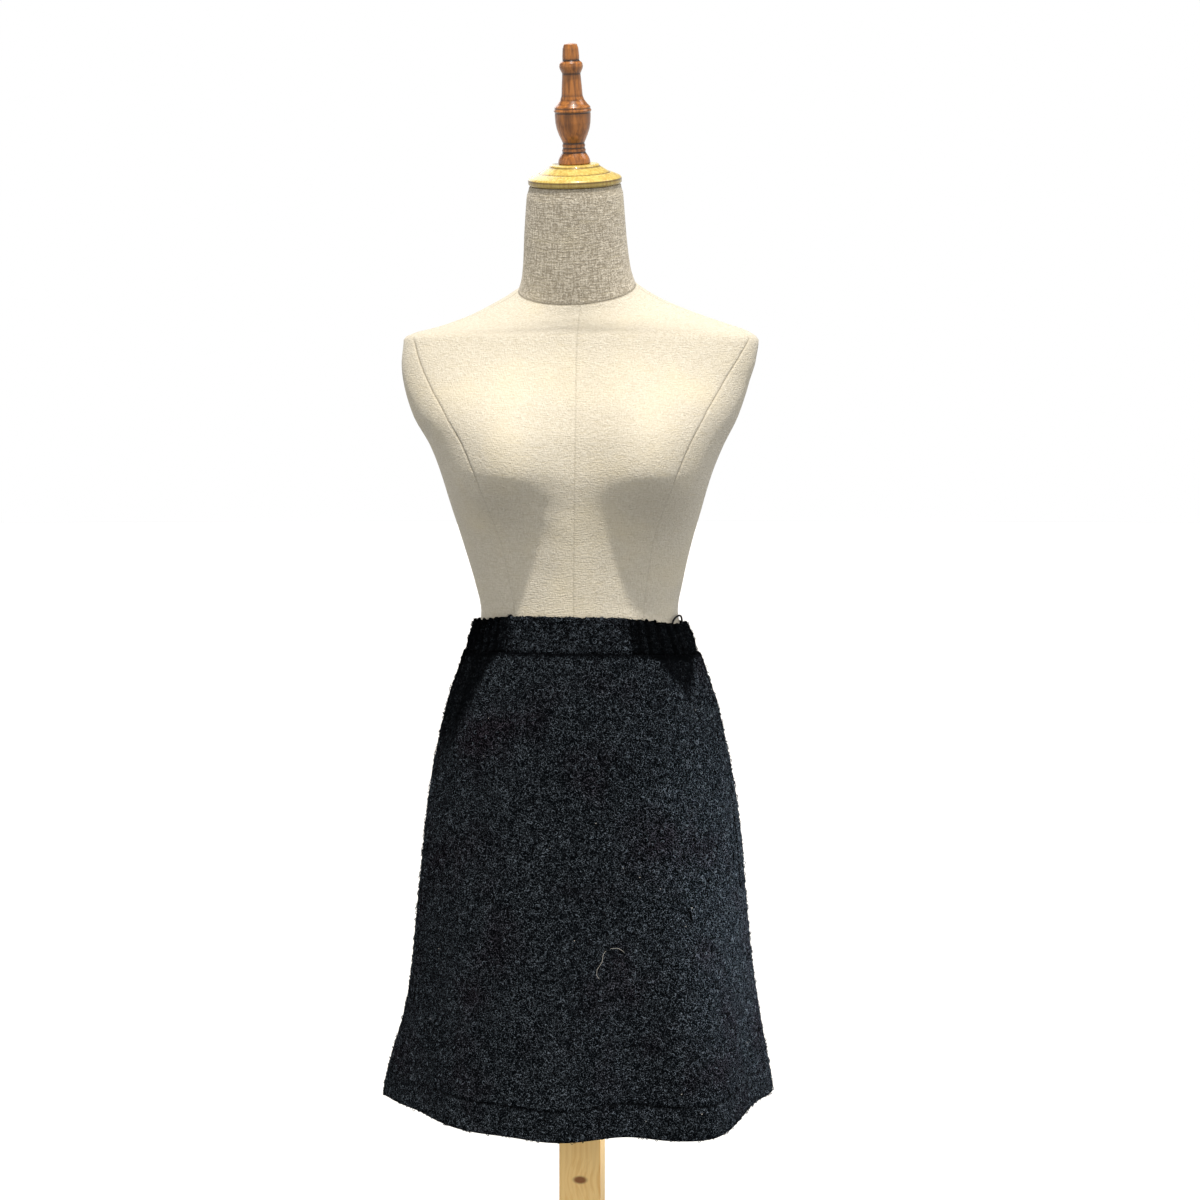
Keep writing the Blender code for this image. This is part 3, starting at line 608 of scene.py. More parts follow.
# One knot shows on the post's front, just below the hem. The grain swerves round it.
KNOT_PLACE = (0.0005, -0.0225, 0.4465)
KNOT_SIZES = (9.0, 20.0, 5.0)
pine, add, skin, place = start_material("planed_pine", 0.58, Specular_IOR_Level=0.35)
planed = add("Mapping", {"Vector": place, "Rotation": (0.0, 0.0, -math.radians(SKIRT_TURN))},
             vector_type="TEXTURE")
knot_place = add("VectorMath", {0: planed, 1: KNOT_PLACE}, operation="SUBTRACT")
knot_shape = add("VectorMath", {0: knot_place, 1: [1 / (size * MM) for size in KNOT_SIZES]},
                 operation="MULTIPLY")
knot_far = add("VectorMath", {0: knot_shape}, operation="LENGTH")
knot = add("MapRange", {"Value": knot_far, "From Min": 0.5, "From Max": 1.1, "To Min": 1.0,
                        "To Max": 0.0}, interpolation_type="SMOOTHSTEP")
detour = add("MapRange", {"Value": knot_far, "From Min": 0.6, "From Max": 5.0, "To Min": 0.006,
                          "To Max": 0.0})
swept = add("VectorMath", {0: planed, 1: detour}, operation="ADD")
grain = streaks(add, swept, (3.2, 6.0, 160.0), {"Detail": 3.0, "Distortion": 0.3})
pores = streaks(add, planed, (0.9, 0.9, 30.0), {"Detail": 2.0})
late_wood = add("MapRange", {"Value": grain, "From Min": 0.45, "From Max": 0.68, "To Max": 0.8})
wood = add("Mix", {0: late_wood, 6: "#f6d28c", 7: "#dca757"}, data_type="RGBA")
pored = add("Mix", {0: pores, 6: wood, 7: "#dfbb7c"}, data_type="RGBA")
knotted = add("Mix", {0: knot, 6: pored, 7: "#7d4f26"}, data_type="RGBA")
relief = add("Bump", {"Height": pores, "Strength": 0.25, "Distance": 0.3 * MM})
feed(skin, {"Base Color": knotted, "Normal": relief})
print("materials:", golden_wood.name, red_wood.name, pine.name)

# %% [markdown]
# ## The form's cover
#
# A dress form is padded and then covered in panels, seamed down the centre, over the bust, at the
# sides and down the back. The cover is one closed grid whose columns follow those seams and crowd
# beside them, so that each can be a narrow valley with a little puckering.

# %% The form's surface
def form_surface(heights, angles):
    """Points of the form: a superellipse at each height, tilted forward towards the neck, with
    a bell-shaped mound on each side for the bust."""
    section = {name: part[:, None] for name, part in
               read_table(FORM_COLUMNS, FORM_SECTIONS, heights).items()}
    x, y = outline(angles, section)
    lean_x, lean_y = -math.sin(math.radians(NECK_TURN)), -math.cos(math.radians(NECK_TURN))
    tilt = np.radians(section["tilt"])
    forward = x * lean_x + y * lean_y
    x = x - forward * (1 - np.cos(tilt)) * lean_x
    y = y - forward * (1 - np.cos(tilt)) * lean_y
    z = section["height"] - forward * np.sin(tilt)
    rise = z - BUST_HEIGHT
    spread = np.where(rise > 0, BUST_SPREAD_UP, BUST_SPREAD_DOWN)
    aside = np.abs(x) - BUST_X
    aside = aside / np.where(aside > 0, BUST_SPREAD_OUT, BUST_SPREAD_IN)
    mound = np.exp(-aside ** 2 - (rise / spread) ** 2)
    y = y - BUST_REACH * mound * fade(np.cos(angles), 0.0, 0.5)
    return np.stack([x + section["centre_x"], y + section["centre_y"], z], axis=-1)


# Where the princess seams run, as a share of half the form's width at each height
SEAM_SHARES = ((0.80, 0.60), (0.90, 0.66), (1.02, 0.64), (1.08, 0.64), (1.143, 0.645),
               (1.221, 0.735), (1.279, 0.785), (1.328, 0.875), (1.357, 0.94), (1.52, 0.94))
# The front centre seam's x at each height
CENTRE_SEAM = ((0.80, -0.006), (1.02, -0.008), (1.08, -0.0084), (1.21, -0.0067), (1.335, -0.0053),
               (1.4125, -0.0021), (1.52, -0.0021))
PANEL_COLUMNS = 22

walk = np.linspace(0.0, 1.0, 400)
fine = np.interp(walk, [0, 1], [FORM_SECTIONS[0][0], FORM_SECTIONS[-1][0]])
climbed = running(steps_of(form_surface(fine, np.radians([[20.0, 60.0, 90.0]]))).mean(axis=1))
heights = np.interp(np.linspace(0.0, climbed[-1], 170), climbed, fine)
collar = COLLAR_SEAM + np.array([-0.003, -0.0015, -0.0008, 0.0, 0.0008, 0.0015, 0.003])
heights = heights[np.abs(heights - COLLAR_SEAM) > 0.004]
heights = np.sort(np.concatenate([heights, collar]))[::-1]

ladder = np.linspace(0.0, math.pi / 2, 181)
section = read_table(FORM_COLUMNS, FORM_SECTIONS, heights)
reach = outline(ladder[None, :], {name: part[:, None] for name, part in section.items()})[0]
seam_share = np.interp(heights, *np.array(SEAM_SHARES).T)
princess = np.array([np.interp(share, row / row[-1], ladder)
                     for share, row in zip(seam_share, reach)])
centre_seam = np.interp(heights, *np.array(CENTRE_SEAM).T) - section["centre_x"]
centre_seam = centre_seam / section["half_width"]
zero = np.zeros_like(princess)
seams = np.stack([centre_seam, princess, zero + math.pi / 2, math.pi - princess, zero + math.pi,
                  math.pi + princess, zero + 1.5 * math.pi, 2 * math.pi - princess,
                  centre_seam + 2 * math.pi], axis=1)
t = np.arange(PANEL_COLUMNS) / PANEL_COLUMNS
crowd = t - 0.85 * np.sin(2 * math.pi * t) / (2 * math.pi)
columns = seams[:, :-1, None] + np.diff(seams, axis=1)[:, :, None] * crowd
torso = form_surface(heights, columns.reshape(len(heights), -1))
print("form grid:", torso.shape[0], "rows of", torso.shape[1])

# %% [markdown]
# Now the seams. A point knows its distance along the cloth to the seam on each side. A seam is a
# valley, a bell 2.8 mm wide and 0.8 mm deep, with the turned allowance as a slight swelling at its
# sides, a little puckering, and a dark line of painted shade at the bottom. The top 8 mm of the
# neck, under the cap's rim, is sunk a little and darkened as painted shadow of the cap.

# %% Seams, collar and closing of the cover
around = np.concatenate([torso, torso[:, :1]], axis=1)
arc = running(steps_of(around, 1), 1)
panel = np.arange(torso.shape[1]) // PANEL_COLUMNS
seam_arc = arc[:, ::PANEL_COLUMNS]
from_left = arc[:, :-1] - seam_arc[:, panel]
from_right = seam_arc[:, panel + 1] - arc[:, :-1]
below_collar = 1 - fade(heights, COLLAR_SEAM - 0.002, COLLAR_SEAM)
below_shoulder = (1 - fade(heights, 1.350, 1.362)) * (0.22 + 0.78 * fade(heights, 1.185, 1.235))
middle = 0.30 * below_collar
strength = np.stack([middle, below_shoulder, 0.8 * below_collar, below_shoulder, 0.8 * below_collar,
                     below_shoulder, 0.8 * below_collar, below_shoulder, middle], axis=1)
left_strength, right_strength = strength[:, panel], strength[:, panel + 1]


def seam_relief(width, collar=1.0):
    """The bells of the seams on both sides of each point, and of the collar seam."""
    rows = collar * bump_at((heights - COLLAR_SEAM)[:, None], width)
    return np.maximum(np.maximum(left_strength * bump_at(from_left, width),
                                 right_strength * bump_at(from_right, width)), rows)


height_column = heights[:, None] + 0 * from_left
ripple = np.sin(2 * math.pi * (height_column / 0.009 + lumps(arc[:, :-1], height_column, 0.03, 3)))
under_cap = FORM_SECTIONS[-1][0] - height_column
sunk = (0.0008 * seam_relief(0.0014, 0.6) + 0.0014 * (1 - fade(under_cap, 0.0075, 0.0095))
        - 0.00015 * (seam_relief(0.0055, 0.0) - seam_relief(0.0025, 0.0))
        - 0.00015 * ripple * seam_relief(0.006)
        - 0.0004 * lumps(arc[:, :-1], height_column, 0.05, 5))
torso = torso - normals_of(torso, wrap=True) * sunk[..., None]

top_centre, foot_centre = torso[0].mean(axis=0), torso[-1].mean(axis=0)
top_normal = np.array([-math.sin(NECK_TILT) * math.sin(math.radians(NECK_TURN)),
                       -math.sin(NECK_TILT) * math.cos(math.radians(NECK_TURN)),
                       math.cos(NECK_TILT)])
top_rows = [top_centre + (torso[0] - top_centre) * share - top_normal * drop
            for share, drop in ((0.5, 0.0), (0.94, 0.0), (0.98, 0.0004), (0.996, 0.0014))]
foot_rows = [foot_centre + (torso[-1] - foot_centre) * share + np.array([0, 0, rise])
             for share, rise in ((0.997, 0.0012), (0.985, 0.0003), (0.96, 0.0), (0.5, 0.0))]
rings = np.concatenate([np.array(top_rows), torso[1:-1], np.array(foot_rows)])
ring_of = np.concatenate([np.zeros(4, int), np.arange(1, len(heights) - 1),
                          np.full(4, len(heights) - 1)])
count = rings.shape[1]
faces = ring_faces(len(rings), count)

down = -running(steps_of(rings).mean(axis=1))
half_panel = np.diff(seam_arc, axis=1)[:, panel] / 2
u_left = (from_left - half_panel)[ring_of] + 0.37 * panel
u_right = u_left + np.diff(arc, axis=1)[ring_of]
v = down[:, None] + 0.11 * panel
left_uv, right_uv = np.stack([u_left, v], -1), np.stack([u_right, v], -1)
cell_uv = np.stack([left_uv[:-1], left_uv[1:], right_uv[1:], right_uv[:-1]], axis=2)
fan_uv = np.tile(rings[0, :, :2], (2, 1))
fan_corners = np.zeros((2 * count, 3, 2))
fan_corners[:, 1] = fan_uv
fan_corners[:, 2] = np.roll(fan_uv, -1, axis=0)
corner_uv = np.concatenate([cell_uv.reshape(-1, 2), fan_corners.reshape(-1, 2)])

# Painted shade on the seam lines, and painted shadow of the cap on the neck's top 8 mm
strip = 0.35 * (1 - fade(under_cap, 0.0075, 0.0085))
seam_and_cap_shade = np.append(np.maximum(seam_relief(0.0007), strip)[ring_of].ravel(), [0.0, 0.0])
neck_mark = np.append(np.repeat(fade(heights[ring_of], COLLAR_SEAM, COLLAR_SEAM + 0.0012), count),
                      [1.0, 0.0])
points = np.concatenate([rings.reshape(-1, 3), [rings[0].mean(axis=0), rings[-1].mean(axis=0)]])
form_cover = add_piece("form_cover", points, faces, linen, ["dress_form"], corner_uv,
                       {"painted_shade_and_grooves": 0.85 * seam_and_cap_shade, "neck": neck_mark})

# %% [markdown]
# ## Turned cap, finial and base
#
# On a lathe a piece is a profile spun round an axis. The knots of each profile are joined, and the
# result is softened over half a millimetre, as sanding does. Where a point lies deeper than the
# mean of its neighbours, it is a groove, and that number darkens the varnish there.

# %% Turned pieces
def turned_profile(knots, step, soften):
    """Points every step along the knots, averaged with a bell of width soften, and how deep each
    lies in a groove."""
    knots = np.array(knots)
    run = running(steps_of(knots))
    at = np.linspace(0.0, run[-1], int(run[-1] / step) + 1)
    raw = np.stack([np.interp(at, run, knots[:, k]) for k in (0, 1)], axis=1)

    def blurred(values, width):
        weight = bump_at(at[:, None] - at[None, :], width)
        return weight @ values / weight.sum(axis=1, keepdims=True)

    smooth = blurred(raw, soften)
    smooth[0], smooth[-1] = raw[0], raw[-1]
    out = unit(np.stack([np.gradient(smooth[:, 1]), -np.gradient(smooth[:, 0])], axis=1))
    sunk = ((blurred(raw, 4 * soften) - smooth) * out).sum(axis=1)
    return smooth, np.clip(sunk / (0.45 * soften), 0.0, 1.0)


def add_turned(name, profile, groove, segments, finish, node, lift=None):
    """Spins a profile (radius, height) from its foot to its top: x = r cos a, y = r sin a. With a
    lift it is stood on the neck's sloping top, lift above it along the slope's normal."""
    turn = np.linspace(0.0, 2 * math.pi, segments, endpoint=False)
    body = profile[1:-1][::-1]
    rings = np.stack([body[:, :1] * np.cos(turn), body[:, :1] * np.sin(turn),
                      body[:, 1:] + 0 * turn], axis=-1)
    poles = np.array([[0.0, 0.0, profile[-1, 1]], [0.0, 0.0, profile[0, 1]]])
    points = np.concatenate([rings.reshape(-1, 3), poles])
    if lift is not None:
        a, b = NECK_TILT, math.radians(NECK_TURN)
        tip = np.array([[1, 0, 0], [0, math.cos(a), -math.sin(a)], [0, math.sin(a), math.cos(a)]])
        spin = np.array([[math.cos(b), math.sin(b), 0], [-math.sin(b), math.cos(b), 0], [0, 0, 1]])
        points = points @ (spin @ tip).T + np.array(blank_place) + lift * top_normal
    mark = np.append(np.repeat(groove[1:-1][::-1], segments), [0.0, 0.0])
    return add_piece(name, points, ring_faces(len(body), segments), finish, [node],
                     marks={"painted_shade_and_grooves": mark})


cap_profile, cap_groove = turned_profile(CAP_PROFILE, 0.0006, 0.0006)
rim = 1 - fade(cap_profile[:, 1], 0.0056, 0.0068)
rim_shade = rim * (0.35 + 0.6 * bump_at(cap_profile[:, 1] - 0.0056, 0.0011))
add_turned("cap_turned", cap_profile, np.clip(cap_groove + rim_shade, 0, 1), 112, golden_wood,
           "neck_cap", SEAM_GAP)
finial_profile, finial_groove = turned_profile(FINIAL_PROFILE, 0.0007, 0.0006)
add_turned("finial_turned", finial_profile, finial_groove, 80, red_wood,
           "finial", CAP_PROFILE[-1][1] + 2 * SEAM_GAP)
bend = np.radians(np.linspace(0.0, 90.0, 9))
rim = np.stack([BASE_RADIUS - BASE_ROUNDING + BASE_ROUNDING * np.cos(bend),
                BASE_THICKNESS - BASE_ROUNDING * (1 - np.sin(bend))], axis=1)
base_profile = np.concatenate([[(0.0, 0.0), (0.1, 0.0), (BASE_RADIUS - 0.002, 0.0),
                                (BASE_RADIUS, 0.002)], rim,
                               [(0.12, BASE_THICKNESS), (0.06, BASE_THICKNESS),
                                (0.0, BASE_THICKNESS)]])
add_turned("base_turned", base_profile, np.zeros(len(base_profile)), 160, pine,
           "stand_base")
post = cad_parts["post"]
post.data.materials.clear()
post.data.materials.append(pine)
print("post keeps its solid, in", pine.name)

# %% [markdown]
# ## The skirt's surface
#
# The skirt hangs from the band. Its sections widen to the hem, soft lobes swing in and out at the
# hem and fade towards the hips, and the gathers of the elastic run down from the seam and fade
# within 85 mm. Each is a push along the level normal, so the cloth stays one smooth surface.

# %% Skirt and band surfaces
def round_form(angles):
    """Angles round the form of the skirt's own angles."""
    return angles - math.radians(SKIRT_TURN)


def gather_wave(angles, count):
    """Gathers from 0 to 1 round the drawn part of the waist: 0.5 - 0.5 cos(phase), where the
    phase drifts, so that no two are spaced alike."""
    share = ((np.degrees(angles) % 360.0) - FLAT_FRONT_ANGLE) / (360.0 - 2 * FLAT_FRONT_ANGLE)
    drift = 0.30 * np.sin(2 * math.pi * 3 * share + 1.0) + 0.18 * np.sin(2 * math.pi * 7 * share)
    ridge = 0.5 - 0.5 * np.cos(2 * math.pi * (count * share + drift))
    uneven = 0.80 + 0.20 * np.sin(2 * math.pi * 5 * share + 2.0)
    return ridge * uneven * fade(np.minimum(share, 1 - share), 0.0, 0.03)


def band_edge(pair, angles):
    """Height of a band edge before its tilt, from its heights at the front and at the sides."""
    share = fade(np.abs(turn_apart(angles, 0.0)), 0.6 * FLAT_FRONT_ANGLE, 75.0)
    return pair[0] + (pair[1] - pair[0]) * share


def fold_lobes(angles):
    """Each hem fold's values with its bell, exp(-(distance / spread)^2), at these angles."""
    for row in HEM_FOLDS:
        fold = dict(zip(FOLD_COLUMNS, row))
        yield fold, bump_at(turn_apart(angles, fold["angle"]), fold["spread"])


def hem_height(angles):
    """The hem's height: a little higher at the wearer's left and lower in the lobes."""
    return (SKIRT_HEM + HEM_RISE * np.sin(angles)
            - sum(fold["drop"] * lobe for fold, lobe in fold_lobes(angles)))


def skirt_height(shares, angles):
    """Height before the band's tilt, by share of the way from the waist seam to the hem."""
    top = band_edge(BAND_BOTTOM, angles) - SEAM_GAP
    return top + (hem_height(angles) - top) * shares


def skirt_surface(shares, angles, inward):
    """Points of the skirt's wall at a depth inward of its outer face: the section's outline,
    pushed by the gathers near the band and by the lobes near the hem, then by the depth."""
    def bare(bend):
        section = read_table(SKIRT_COLUMNS, SKIRT_SECTIONS, skirt_height(shares, bend))
        return outline(round_form(bend), section)

    def folded(bend):
        height = skirt_height(shares, bend)
        below_seam = skirt_height(0.0, bend) - height
        push = SKIRT_GATHER_DEPTH * gather_wave(bend, GATHER_COUNT / 2) * (
            1 - fade(below_seam, 0.004, SKIRT_GATHER_LENGTH))
        for fold, lobe in fold_lobes(bend):
            push = push + fold["reach"] * lobe * fade(height, fold["fades_at"], SKIRT_HEM) ** 1.3
        return pushed(bare, bend, push)

    x, y = pushed(folded, angles, -inward)
    height = skirt_height(shares, angles)
    below_seam = skirt_height(0.0, angles) - height
    z = height - BAND_TILT * x * (1 - fade(below_seam, 0.0, 0.12))
    return np.stack(np.broadcast_arrays(x, y, z), axis=-1)


def band_surface(level, angles, push):
    """Points of the band from level 0, bottom, to 1, top, pushed out from its inner face, which
    is the form's own outline and a little ease."""
    bottom, top = band_edge(BAND_BOTTOM, angles), band_edge(BAND_TOP, angles)
    height = bottom + (top - bottom) * level

    def inside(bend):
        section = read_table(FORM_COLUMNS, FORM_SECTIONS, height - BAND_TILT * 0.11 * np.sin(bend))
        ease = BAND_EASE[0] + (BAND_EASE[1] - BAND_EASE[0]) * level
        x, y = pushed(lambda more: outline(round_form(more), section), bend, ease)
        return x + section["centre_x"], y

    x, y = pushed(inside, angles, push)
    return np.stack(np.broadcast_arrays(x, y, height - BAND_TILT * x), axis=-1)


waist_seam = skirt_surface(np.array([[0.0]]), np.linspace(0, 2 * math.pi, 721)[None, :], 0.0)[0]
print("waist seam round the skirt:", round(float(steps_of(waist_seam).sum()), 3), "m")

# %% [markdown]
# ## Front and back panel
#
# Each panel is a closed wall 2.6 mm thick, doubled below the line of hem stitches where it is
# turned up. Small lumps stand for the thick yarn, the edges roll in at the side seams, and the
# stitches pull a dented line along the hem, fainter towards the wearer's left. Painted shade
# darkens the stitch line, the side seams and the top of the panel under the band. Two wedges below
# the band are painted black, a long one at the wearer's right and a short one at the left. They are
# painted shadow of the bust, together with the nap that closes where the skirt is drawn in. The
# inner face needs a third of the rows.

# %% Skirt panels
EDGE_ROWS = np.array([0.1, 0.5, 1.3, 3.0]) * MM
HEM_ROWS = np.array([5.6, 3.8, 2.4, 1.2, 0.5, 0.1]) * MM
STITCH_ROWS = np.array([33.9, 33.0, 32.1, 31.2, 30.4, 29.6]) * MM
row_depths = np.sort(np.concatenate([EDGE_ROWS, PANEL_LENGTH - STITCH_ROWS, PANEL_LENGTH - HEM_ROWS,
                                     np.linspace(5.2 * MM, PANEL_LENGTH - 7.8 * MM, 216)]))
STITCH = 7.5 * MM
STITCH_HEIGHT = 30.6 * MM
STITCH_JOG = 2.8 * MM
PANEL_TRIM_RADIUS, PANEL_RADIUS, PANEL_EDGE_RADIUS = 0.085, 0.17, 0.15


def strip_angles(start, end, columns, trim_radius, edge_radius):
    """The angles of a strip's columns, with half a seam gap left free at each end, and how far
    each column lies from the nearer cut edge. The radii turn angles to lengths."""
    trim = math.degrees(SEAM_GAP / 2 / trim_radius)
    angles = np.radians(np.linspace(start + trim, end - trim, columns))[None, :]
    return angles, np.minimum(angles - angles.min(), angles.max() - angles) * edge_radius


def skirt_panel(name, start, end, columns, node, seed):
    """A panel between two angles. Returns the piece, its outer grid and its marks of painted shade."""
    angles, from_edge = strip_angles(start, end, columns, PANEL_TRIM_RADIUS, PANEL_EDGE_RADIUS)
    depth = row_depths[:, None]
    shares = depth / PANEL_LENGTH
    above_hem = PANEL_LENGTH - depth
    across = angles * PANEL_RADIUS
    apart = turn_apart(angles, 0.0)
    jog = fade(apart, 13.0, 14.5) * (1 - fade(apart, 40.0, 70.0))
    stitch_line = above_hem - STITCH_HEIGHT - STITCH_JOG * jog
    dashes = 0.55 + 0.45 * np.cos(2 * math.pi * across / STITCH) ** 2
    dashes = dashes * (1 - 0.6 * fade(np.abs(apart), 45.0, 62.0))
    groove = bump_at(stitch_line, 1.3 * MM) * dashes
    pucker = lumps(across, above_hem, 0.006, seed + 2) * bump_at(stitch_line, 9 * MM)
    small_gather = gather_wave(angles, GATHER_COUNT) * (1 - fade(depth, 0.002, 0.032))
    relief = (0.55 * MM * lumps(across, depth, 0.0055, seed)
              + 0.30 * MM * lumps(across, depth, 0.0035, seed + 1)
              + 0.8 * MM * lumps(across, depth * 0.35, 0.035, seed + 3) * fade(depth, 0.0, 0.1)
              - 1.5 * MM * groove + 0.5 * MM * pucker - 0.5 * MM * bump_at(from_edge, 2.0 * MM)
              + 1.5 * MM * small_gather)
    rounding = round_edge(depth, CLOTH / 2) + round_edge(above_hem, CLOTH)
    wall = CLOTH * (2 - fade(above_hem, HEM_DEPTH - 0.5 * MM, HEM_DEPTH + 1.5 * MM))
    outer = skirt_surface(shares, angles, rounding - relief * (1 - fade(rounding, 0.0, CLOTH)))
    inner_rows = slice(None, None, 3)
    inner = skirt_surface(shares[inner_rows], angles,
                          (wall - rounding - 0.3 * relief)[inner_rows])
    tuck = 1.6 * MM * (1 - fade(depth, 0.2 * MM, 1.6 * MM))
    outer[..., 2] += tuck
    inner[..., 2] += tuck[inner_rows]
    # Painted shadow of the bust: black wedges below the band, where the drawn-in nap also closes
    right_shadow_wedge = (fade(-apart - 150.0 * depth, 37.0, 42.0) * (1 - fade(-apart, 95.0, 120.0))
                   * (1 - fade(depth, 0.06, 0.15)))
    half_width = 14.0 - 420.0 * depth
    left_shadow_wedge = 1 - fade(np.abs(apart - 61.0), half_width, half_width + 6.0)
    closed = (0.86 + 0.14 * gather_wave(angles, GATHER_COUNT / 2)) * np.maximum(right_shadow_wedge,
                                                                                left_shadow_wedge)
    # Painted shade in the stitch groove, at the side seams and under the band, with the painted shadow
    # wedges
    painted_shade_and_grooves = np.clip(1.1 * groove + 0.25 * bump_at(from_edge, 1.2 * MM) + 0.97 * closed
                     + 0.95 * bump_at(depth, 2.2 * MM), 0.0, 1.0)
    return add_cloth(name, outer, inner, boucle, [node], painted_shade_and_grooves), outer, painted_shade_and_grooves


front_panel, *front_cloth = skirt_panel("front_panel", -SIDE_SEAM_ANGLE, SIDE_SEAM_ANGLE, 252,
                                        "skirt_front", 11)
back_panel, *back_cloth = skirt_panel("back_panel", SIDE_SEAM_ANGLE, 360 - SIDE_SEAM_ANGLE, 262,
                                      "skirt_back", 31)

# %% [markdown]
# ## Waistband
#
# The band is a doubled strip folded at the top: flat across the front, and drawn in by elastic
# round the sides and back, where it stands in about 44 uneven gathers with sharp valleys. Each
# gather leans a little, and pinched tips stand above the edge beside the flat part.

# %% Waistband strips
BAND_HEIGHT = BAND_TOP[1] - BAND_BOTTOM[1]
band_rows = np.concatenate([np.array([0.1, 0.6, 1.5, 2.8]) * MM,
                            np.linspace(4.3 * MM, BAND_HEIGHT - 4.3 * MM, 20),
                            BAND_HEIGHT - np.array([2.8, 1.5, 0.6, 0.1]) * MM])
BAND_RADIUS, BAND_TRIM_RADIUS = 0.105, 0.1
# Angle, spread and rise of each tip
TIPS = ((46.0, 0.8, 0.0026), (52.0, 0.8, 0.0026), (-34.0, 1.8, 0.0016), (-57.0, 1.2, 0.0012))


def band_strip(name, start, end, columns, node, seed):
    """A strip of the band between two angles, with the gathers where it is drawn in. Returns the
    piece, its outer grid and its marks of painted shade."""
    angles, from_edge = strip_angles(start, end, columns, BAND_TRIM_RADIUS, BAND_RADIUS)
    apart = np.abs(turn_apart(angles, 0.0))
    from_top = band_rows[:, None]
    level = 1 - from_top / BAND_HEIGHT
    across = angles * BAND_RADIUS
    drawn = fade(apart, FLAT_FRONT_ANGLE, FLAT_FRONT_ANGLE + 7)
    lean = 0.05 * (level - 0.5) * lumps(across, 0 * across, 0.03, seed)
    gathers = gather_wave(angles + lean, GATHER_COUNT)
    wave = gathers ** 0.75
    rounding = round_edge(from_top, 3 * MM) + round_edge(BAND_HEIGHT - from_top, 3 * MM)
    relief = (0.45 * MM * lumps(across, from_top, 0.0050, seed + 1)
              + 0.30 * MM * lumps(across, from_top, 0.0030, seed + 2)
              + 0.9 * MM * drawn * lumps(across, from_top * 0.3, 0.0045, seed + 3)
              - 1.3 * MM * bump_at(from_edge, 2.2 * MM))
    push = BAND_WALL - rounding + relief * (1 - fade(rounding, 0.0, 4 * MM))
    push = push + GATHER_DEPTH * wave * (1 - 0.12 * rounding / MM)
    inner_push = rounding + 0.25 * GATHER_DEPTH * wave
    push = np.maximum(push - 5.5 * MM * drawn * fade(level, 0.45, 1.15), inner_push + 0.7 * MM)
    lift = sum(rise * bump_at(turn_apart(angles, centre), spread) for centre, spread, rise in TIPS)
    scallop = 1.3 * MM * wave + 0.7 * MM * lumps(across, 0 * across, 0.004, seed + 4)
    raised = fade(level, 0.75, 1.0) * (lift + scallop)
    outer = band_surface(level, angles, push)
    inner = band_surface(level[::3], angles, inner_push[::3])
    outer[..., 2] += raised
    inner[..., 2] += raised[::3]
    # Painted shade in the gather valleys, on the drawn sides beyond the flat front where the closed nap
    # is darker too, at the cut edges and along the seam at the band's foot
    gather_valley_shade = drawn * (1 - gathers / 0.9) ** 2
    drawn_side_shade = fade(apart, 31.0, 38.0)
    painted_shade_and_grooves = np.clip(0.25 * gather_valley_shade + 0.82 * drawn_side_shade + 0.3 * bump_at(from_edge, 1.4 * MM)
                     + 0.9 * bump_at(BAND_HEIGHT - from_top, 1.8 * MM), 0.0, 1.0)
    return add_cloth(name, outer, inner, boucle, [node], painted_shade_and_grooves), outer, painted_shade_and_grooves


band_front, *band_front_cloth = band_strip("band_front", -FLAT_FRONT_ANGLE, FLAT_FRONT_ANGLE, 112,
                                           "waistband_front", 51)
band_back, *band_back_cloth = band_strip("band_back", FLAT_FRONT_ANGLE, 360 - FLAT_FRONT_ANGLE, 560,
                                         "waistband_back", 61)

# %% [markdown]
# ## Curls, slubs and loose ends
#
# A bump can't change an outline, and a boucle edge is fuzzy. So thousands of little arcs of yarn
# are scattered over the cloth. Each is part of a circle in a plane that leans on the surface, a
# tube of three sides and five steps, 32 triangles. All of one piece's curls are one array. A curl
# takes the painted shade of the cloth under it.

# %% Curls of yarn
def on_grid(grid, row, column):
    """Points and normals of a grid at fractional rows and columns, by bilinear blending."""
    i = np.minimum(row.astype(int), grid.shape[0] - 2)
    j = np.minimum(column.astype(int), grid.shape[1] - 2)
    s, t = (row - i)[:, None], (column - j)[:, None]

    def blend(field):
        return ((field[i, j] * (1 - s) + field[i + 1, j] * s) * (1 - t)
                + (field[i, j + 1] * (1 - s) + field[i + 1, j + 1] * s) * t)

    return blend(grid), unit(blend(normals_of(grid)))


def add_yarn(name, paths, ups, radii, sides, shade):
    """Tubes of yarn as one piece, with a shade for each of them."""
    points, faces = tubes(paths, ups, radii, sides)
    marks = {"shade": np.repeat(shade, points[0, ..., 0].size)}
    return add_piece(name, points, faces, yarn, marks=marks)


